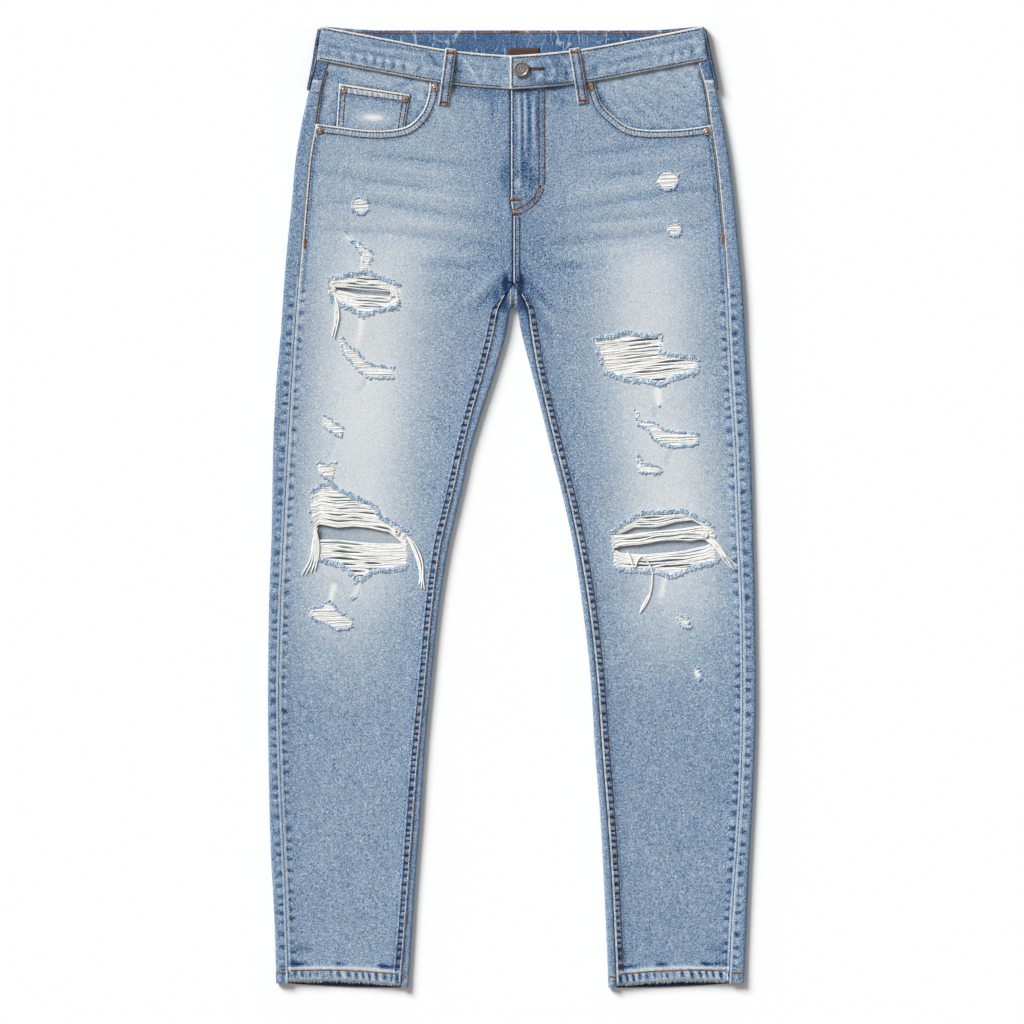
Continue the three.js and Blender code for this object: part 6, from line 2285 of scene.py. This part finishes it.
def coin_sewing():
    rows = Sewing("coin")
    t = np.linspace(0.03, 0.97, 40)
    steady = np.ones(40)
    lines = [(t, steady * 2.3 / COIN_TALL), (t, steady * 8.2 / COIN_TALL)]
    for reach in (2.2, 7):
        lines.append((steady * reach / COIN_WIDE, t))
        lines.append((steady * (1 - reach / COIN_WIDE), t))
    for across, down in lines:
        x, y = coin_place(across, down)
        keep = is_inside(x, y, mouth_outline(RIGHT))
        x, y, down = x[keep], y[keep], down[keep]
        z = coin_height(x, y) + band_rise(down * COIN_TALL, COIN_HEM, 0.35)
        rows.row("brown", line_of(x, y, z), 3.1, 2.1)
    return rows


def underside_sewing():
    rows = Sewing("underside")
    t = np.linspace(0, 1, 30)
    table_level = 0.62
    for side in SIDES:
        seam_y = yoke_seam(t)
        yoke_x = mix(outer_edge(side, seam_y) - side * fold_radius(seam_y), CENTRE_X, t)
        for rise in (2, 8):
            rows.under_row(yoke_x, seam_y + rise, SEAT_LIFT)
        for reach in (2, 8):
            inset, low = reach / POCKET_WIDE, 1 - reach / POCKET_TALL
            for across, down in ((inset + 0 * t, mix(0.01, low, t)),
                                 (1 - inset + 0 * t, mix(0.01, low, t)),
                                 (mix(inset, 1 - inset, t), low + 0 * t)):
                rows.under_row(*pocket_place(side, across, down), table_level)
        for depth in (POCKET_HEM, POCKET_HEM - 4):
            line = pocket_place(side, mix(0.01, 0.99, t), depth / POCKET_TALL + 0 * t)
            rows.under_row(*line, table_level)
        for corner in (0.03, 0.97):
            rows.bar((*pocket_place(side, corner, 0.03), 0.7), 5, (0, 1), rise=-0.2)
        radius = fold_radius(HEM_ENDS_Y)
        outer = outer_edge(side, HEM_ENDS_Y) - side * radius
        inner = inner_edge(side, HEM_ENDS_Y) + side * radius
        x, y = mix(outer, inner, t), np.full(30, HEM_ROW_Y)
        rows.under_row(x, y + hem_lift(side, x, y), table_level)
    rise_y = np.linspace(CROTCH_Y + 4, 474, 60)
    for reach in (2, 8):
        rows.under_row(CENTRE_X + reach, rise_y, SEAT_LIFT)
    return rows


# The keyhole by the button: its slit and its round eye
HOLE_START_X = 19.5
HOLE_END_X = 34.5
HOLE_Y = 472.6
EYE_X = 18.6


def buttonhole():
    """Close stitches round the keyhole by the button."""
    routes = []
    z = LAP_TOP_Z + 0.1
    for x in mix(HOLE_START_X, HOLE_END_X, np.linspace(0, 1, 46)):
        for hand in (-1, 1):
            y = HOLE_Y + hand * 0.1
            routes.append([(x, y, z - 0.2), (x, y + hand * 0.6, z + 0.35),
                           (x + 0.1, y + hand * 1.5, z - 0.15)])
    for turn in np.linspace(-2.0, 2.0, 16):
        dx, dy = -math.cos(turn), math.sin(turn)
        routes.append([(EYE_X + reach * dx, HOLE_Y + reach * dy, z + rise)
                       for reach, rise in ((1, -0.2), (1.9, 0.35), (2.9, -0.15))])
    return routes


def hem_frays(side):
    """Short cotton ends that stick out under the front hem."""
    routes = []
    seam = side_seam(side, HEM_BOTTOM), inside_seam(side, HEM_BOTTOM)
    for x in np.arange(*sorted(seam), 0.9):
        y = HEM_BOTTOM + random.uniform(-0.1, 0.9)
        length = random.uniform(0.6, 2.6)
        lean = random.uniform(-1.2, 1.2)
        z = upper_height(side, x, y) - random.uniform(0.1, 0.9)
        top = y + front_lift(side, x, y)
        routes.append([(x, top + 1.2, z), (x + 0.3 * lean, top, z + 0.25),
                       (x + lean, top - length, z - 0.3)])
    return routes


# The table, and each sheet of cloth as it is cut

TABLE_SIZE = 6
PAPER_WHITE = (0.88, 0.88, 0.88, 1)


def table_top():
    shape = bmesh.new()
    bmesh.ops.create_grid(shape, x_segments=1, y_segments=1, size=TABLE_SIZE)
    bmesh.ops.translate(shape, verts=shape.verts, vec=(0, 0, -0.0004))
    material, _, shader = new_material("white paper", 0.9, Specular_IOR_Level=0.0)
    shader.inputs["Base Color"].default_value = PAPER_WHITE
    return add_object("table_top", to_mesh("table_top", shape), [material])


# Width and length in metres, area where it isn't a rectangle
SHEETS = {
    "front": {"flat": (0.262, 1.0), "area": 0.172},
    "back": {"flat": (0.3, 0.99), "area": 0.215},
    "yoke": {"flat": (0.245, 0.076), "area": 0.0145},
    "facing": {"flat": (0.15, 0.1), "area": 0.0115},
    "pocket": {"flat": (0.152, 0.165), "area": 0.0205},
    "coin": {"flat": (0.08, 0.051), "area": 0.0035},
    "band": {"flat": (0.895, 0.038), "area": None},
    "loop": {"flat": (0.0115, 0.064), "area": None},
    "side_loop": {"flat": (0.0115, 0.066), "area": None},
    "label": {"flat": (0.0345, 0.0235), "area": None},
}


def lay(piece, kind, slot, node, rests_on):
    """Ride a sheet of cloth, declare its cut, and name the CAD nodes that it lies on."""
    ride(piece, slot, node)
    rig.sheet(piece, held="laid", rests_on=rests_on, **SHEETS[kind])


# Put together

floor = table_top()
for side in SIDES:
    name = SIDE_NAMES[side]
    back, yoke = f"back_panel_{name}", f"back_yoke_{name}"
    lay(front_panel(side), "front", "denim", f"front_panel_{name}", [back])
    lay(back_panel(side), "back", "denim", back, [floor])
    lay(back_yoke(side), "yoke", "denim", yoke, [floor])
    lay(pocket_facing(side), "facing", "denim", f"pocket_facing_{name}", [back, yoke])
    lay(back_pocket(side), "pocket", "denim", f"back_pocket_{name}", [floor])
    lay(front_loop(side), "loop", "denim", f"belt_loop_front_{name}", ["waistband"])
    lay(side_loop(side), "side_loop", "denim", f"belt_loop_side_{name}", ["waistband"])
lay(waistband(), "band", "denim", "waistband", [floor])
lay(coin_pocket(), "coin", "denim", "coin_pocket", ["pocket_facing_right"])
lay(back_loop(), "loop", "denim", "belt_loop_back", ["waistband"])
lay(waist_label(), "label", "label", "waist_label", ["waistband"])
button_centre = (*BUTTON_PLACE, LAP_TOP_Z + SEAM_GAP)
ride(turned("button_shell", BUTTON_SHELL, button_centre, BUTTON_METAL, 48), "button_metal",
     "waist_button")
for name in RIVETS:
    ride(rivet(name), "rivet_metal", f"rivet_{name}")

pad_routes, pad_radii, tufts, ends = [], [], [], []
for rip in RIPS:
    routes, radii = rip_threads(rip) if rip["threads"] else ([], [])
    if rip["through"]:
        name = rip["name"]
        threads = strands(f"threads_{name}", routes, 0.66, COTTON, radii=radii)
        ride(threads, "cotton_thread", f"rip_threads_{name}")
    else:
        pad_routes += routes
        pad_radii += radii
    frayed, loose = fringe(rip)
    tufts += frayed
    ends += loose
ride(strands("small_rip_threads", pad_routes, 0.55, COTTON, radii=pad_radii), "cotton_thread")
ride(strands("torn_edge_tufts", tufts, 0.46, FUZZ), "denim")
ride(strands("torn_edge_ends", ends, 0.4, COTTON), "cotton_thread")
for one in TASSELS:
    ride(tassel(one), "cotton_thread", one["name"])

for rows in (front_sewing, band_sewing, loop_sewing, coin_sewing, underside_sewing):
    rows().sew()
ride(strands("buttonhole_stitches", buttonhole(), 0.3, BROWN), "topstitch")
frays = hem_frays(RIGHT) + hem_frays(LEFT)
ride(strands("hem_frays", frays, 0.2, COTTON), "cotton_thread")


# The light and the camera

def sun_light(name, azimuth, elevation, spread, power):
    """A wide far lamp, at an angle from +X and above the table."""
    a, e = math.radians(azimuth), math.radians(elevation)
    lamp = bpy.data.lights.new(name, "SUN")
    lamp.energy, lamp.angle = power, math.radians(spread)
    holder = bpy.data.objects.new(name, lamp)
    holder.rotation_euler = (math.pi / 2 - e, 0, a + math.pi / 2)
    bpy.context.scene.collection.objects.link(holder)
    return holder


key = sun_light("key_light", azimuth=134, elevation=31, spread=26, power=4.8)
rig.stage(floor, key)
ROOM_LIGHT = 0.345
world = bpy.data.worlds.new("room")
bpy.context.scene.world = world
world.use_nodes = True
background = world.node_tree.nodes["Background"]
background.inputs["Color"].default_value = (1, 1, 1, 1)
background.inputs["Strength"].default_value = ROOM_LIGHT
bpy.context.scene.view_settings.view_transform = "Standard"
bpy.context.scene.view_settings.look = "None"

CAMERA_HEIGHT = 8.0
VIEW_WIDTH = 1.10592
VIEW_MIDDLE_Y = -5.4
FILM_WIDTH = 36
camera = bpy.data.cameras.new("camera")
camera.sensor_width = FILM_WIDTH
camera.lens = FILM_WIDTH * CAMERA_HEIGHT / VIEW_WIDTH
camera.clip_end = 100
viewer = bpy.data.objects.new("camera", camera)
viewer.location = (0, VIEW_MIDDLE_Y * MM, CAMERA_HEIGHT)
bpy.context.scene.collection.objects.link(viewer)
bpy.context.scene.camera = viewer

visual_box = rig.bounds()
boxes = {
    "cad": [list(map(float, corner)) for corner in cad_box],
    "visual": [list(map(float, corner)) for corner in visual_box],
}
with open("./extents.json", "w") as file:
    json.dump(boxes, file, indent=1)
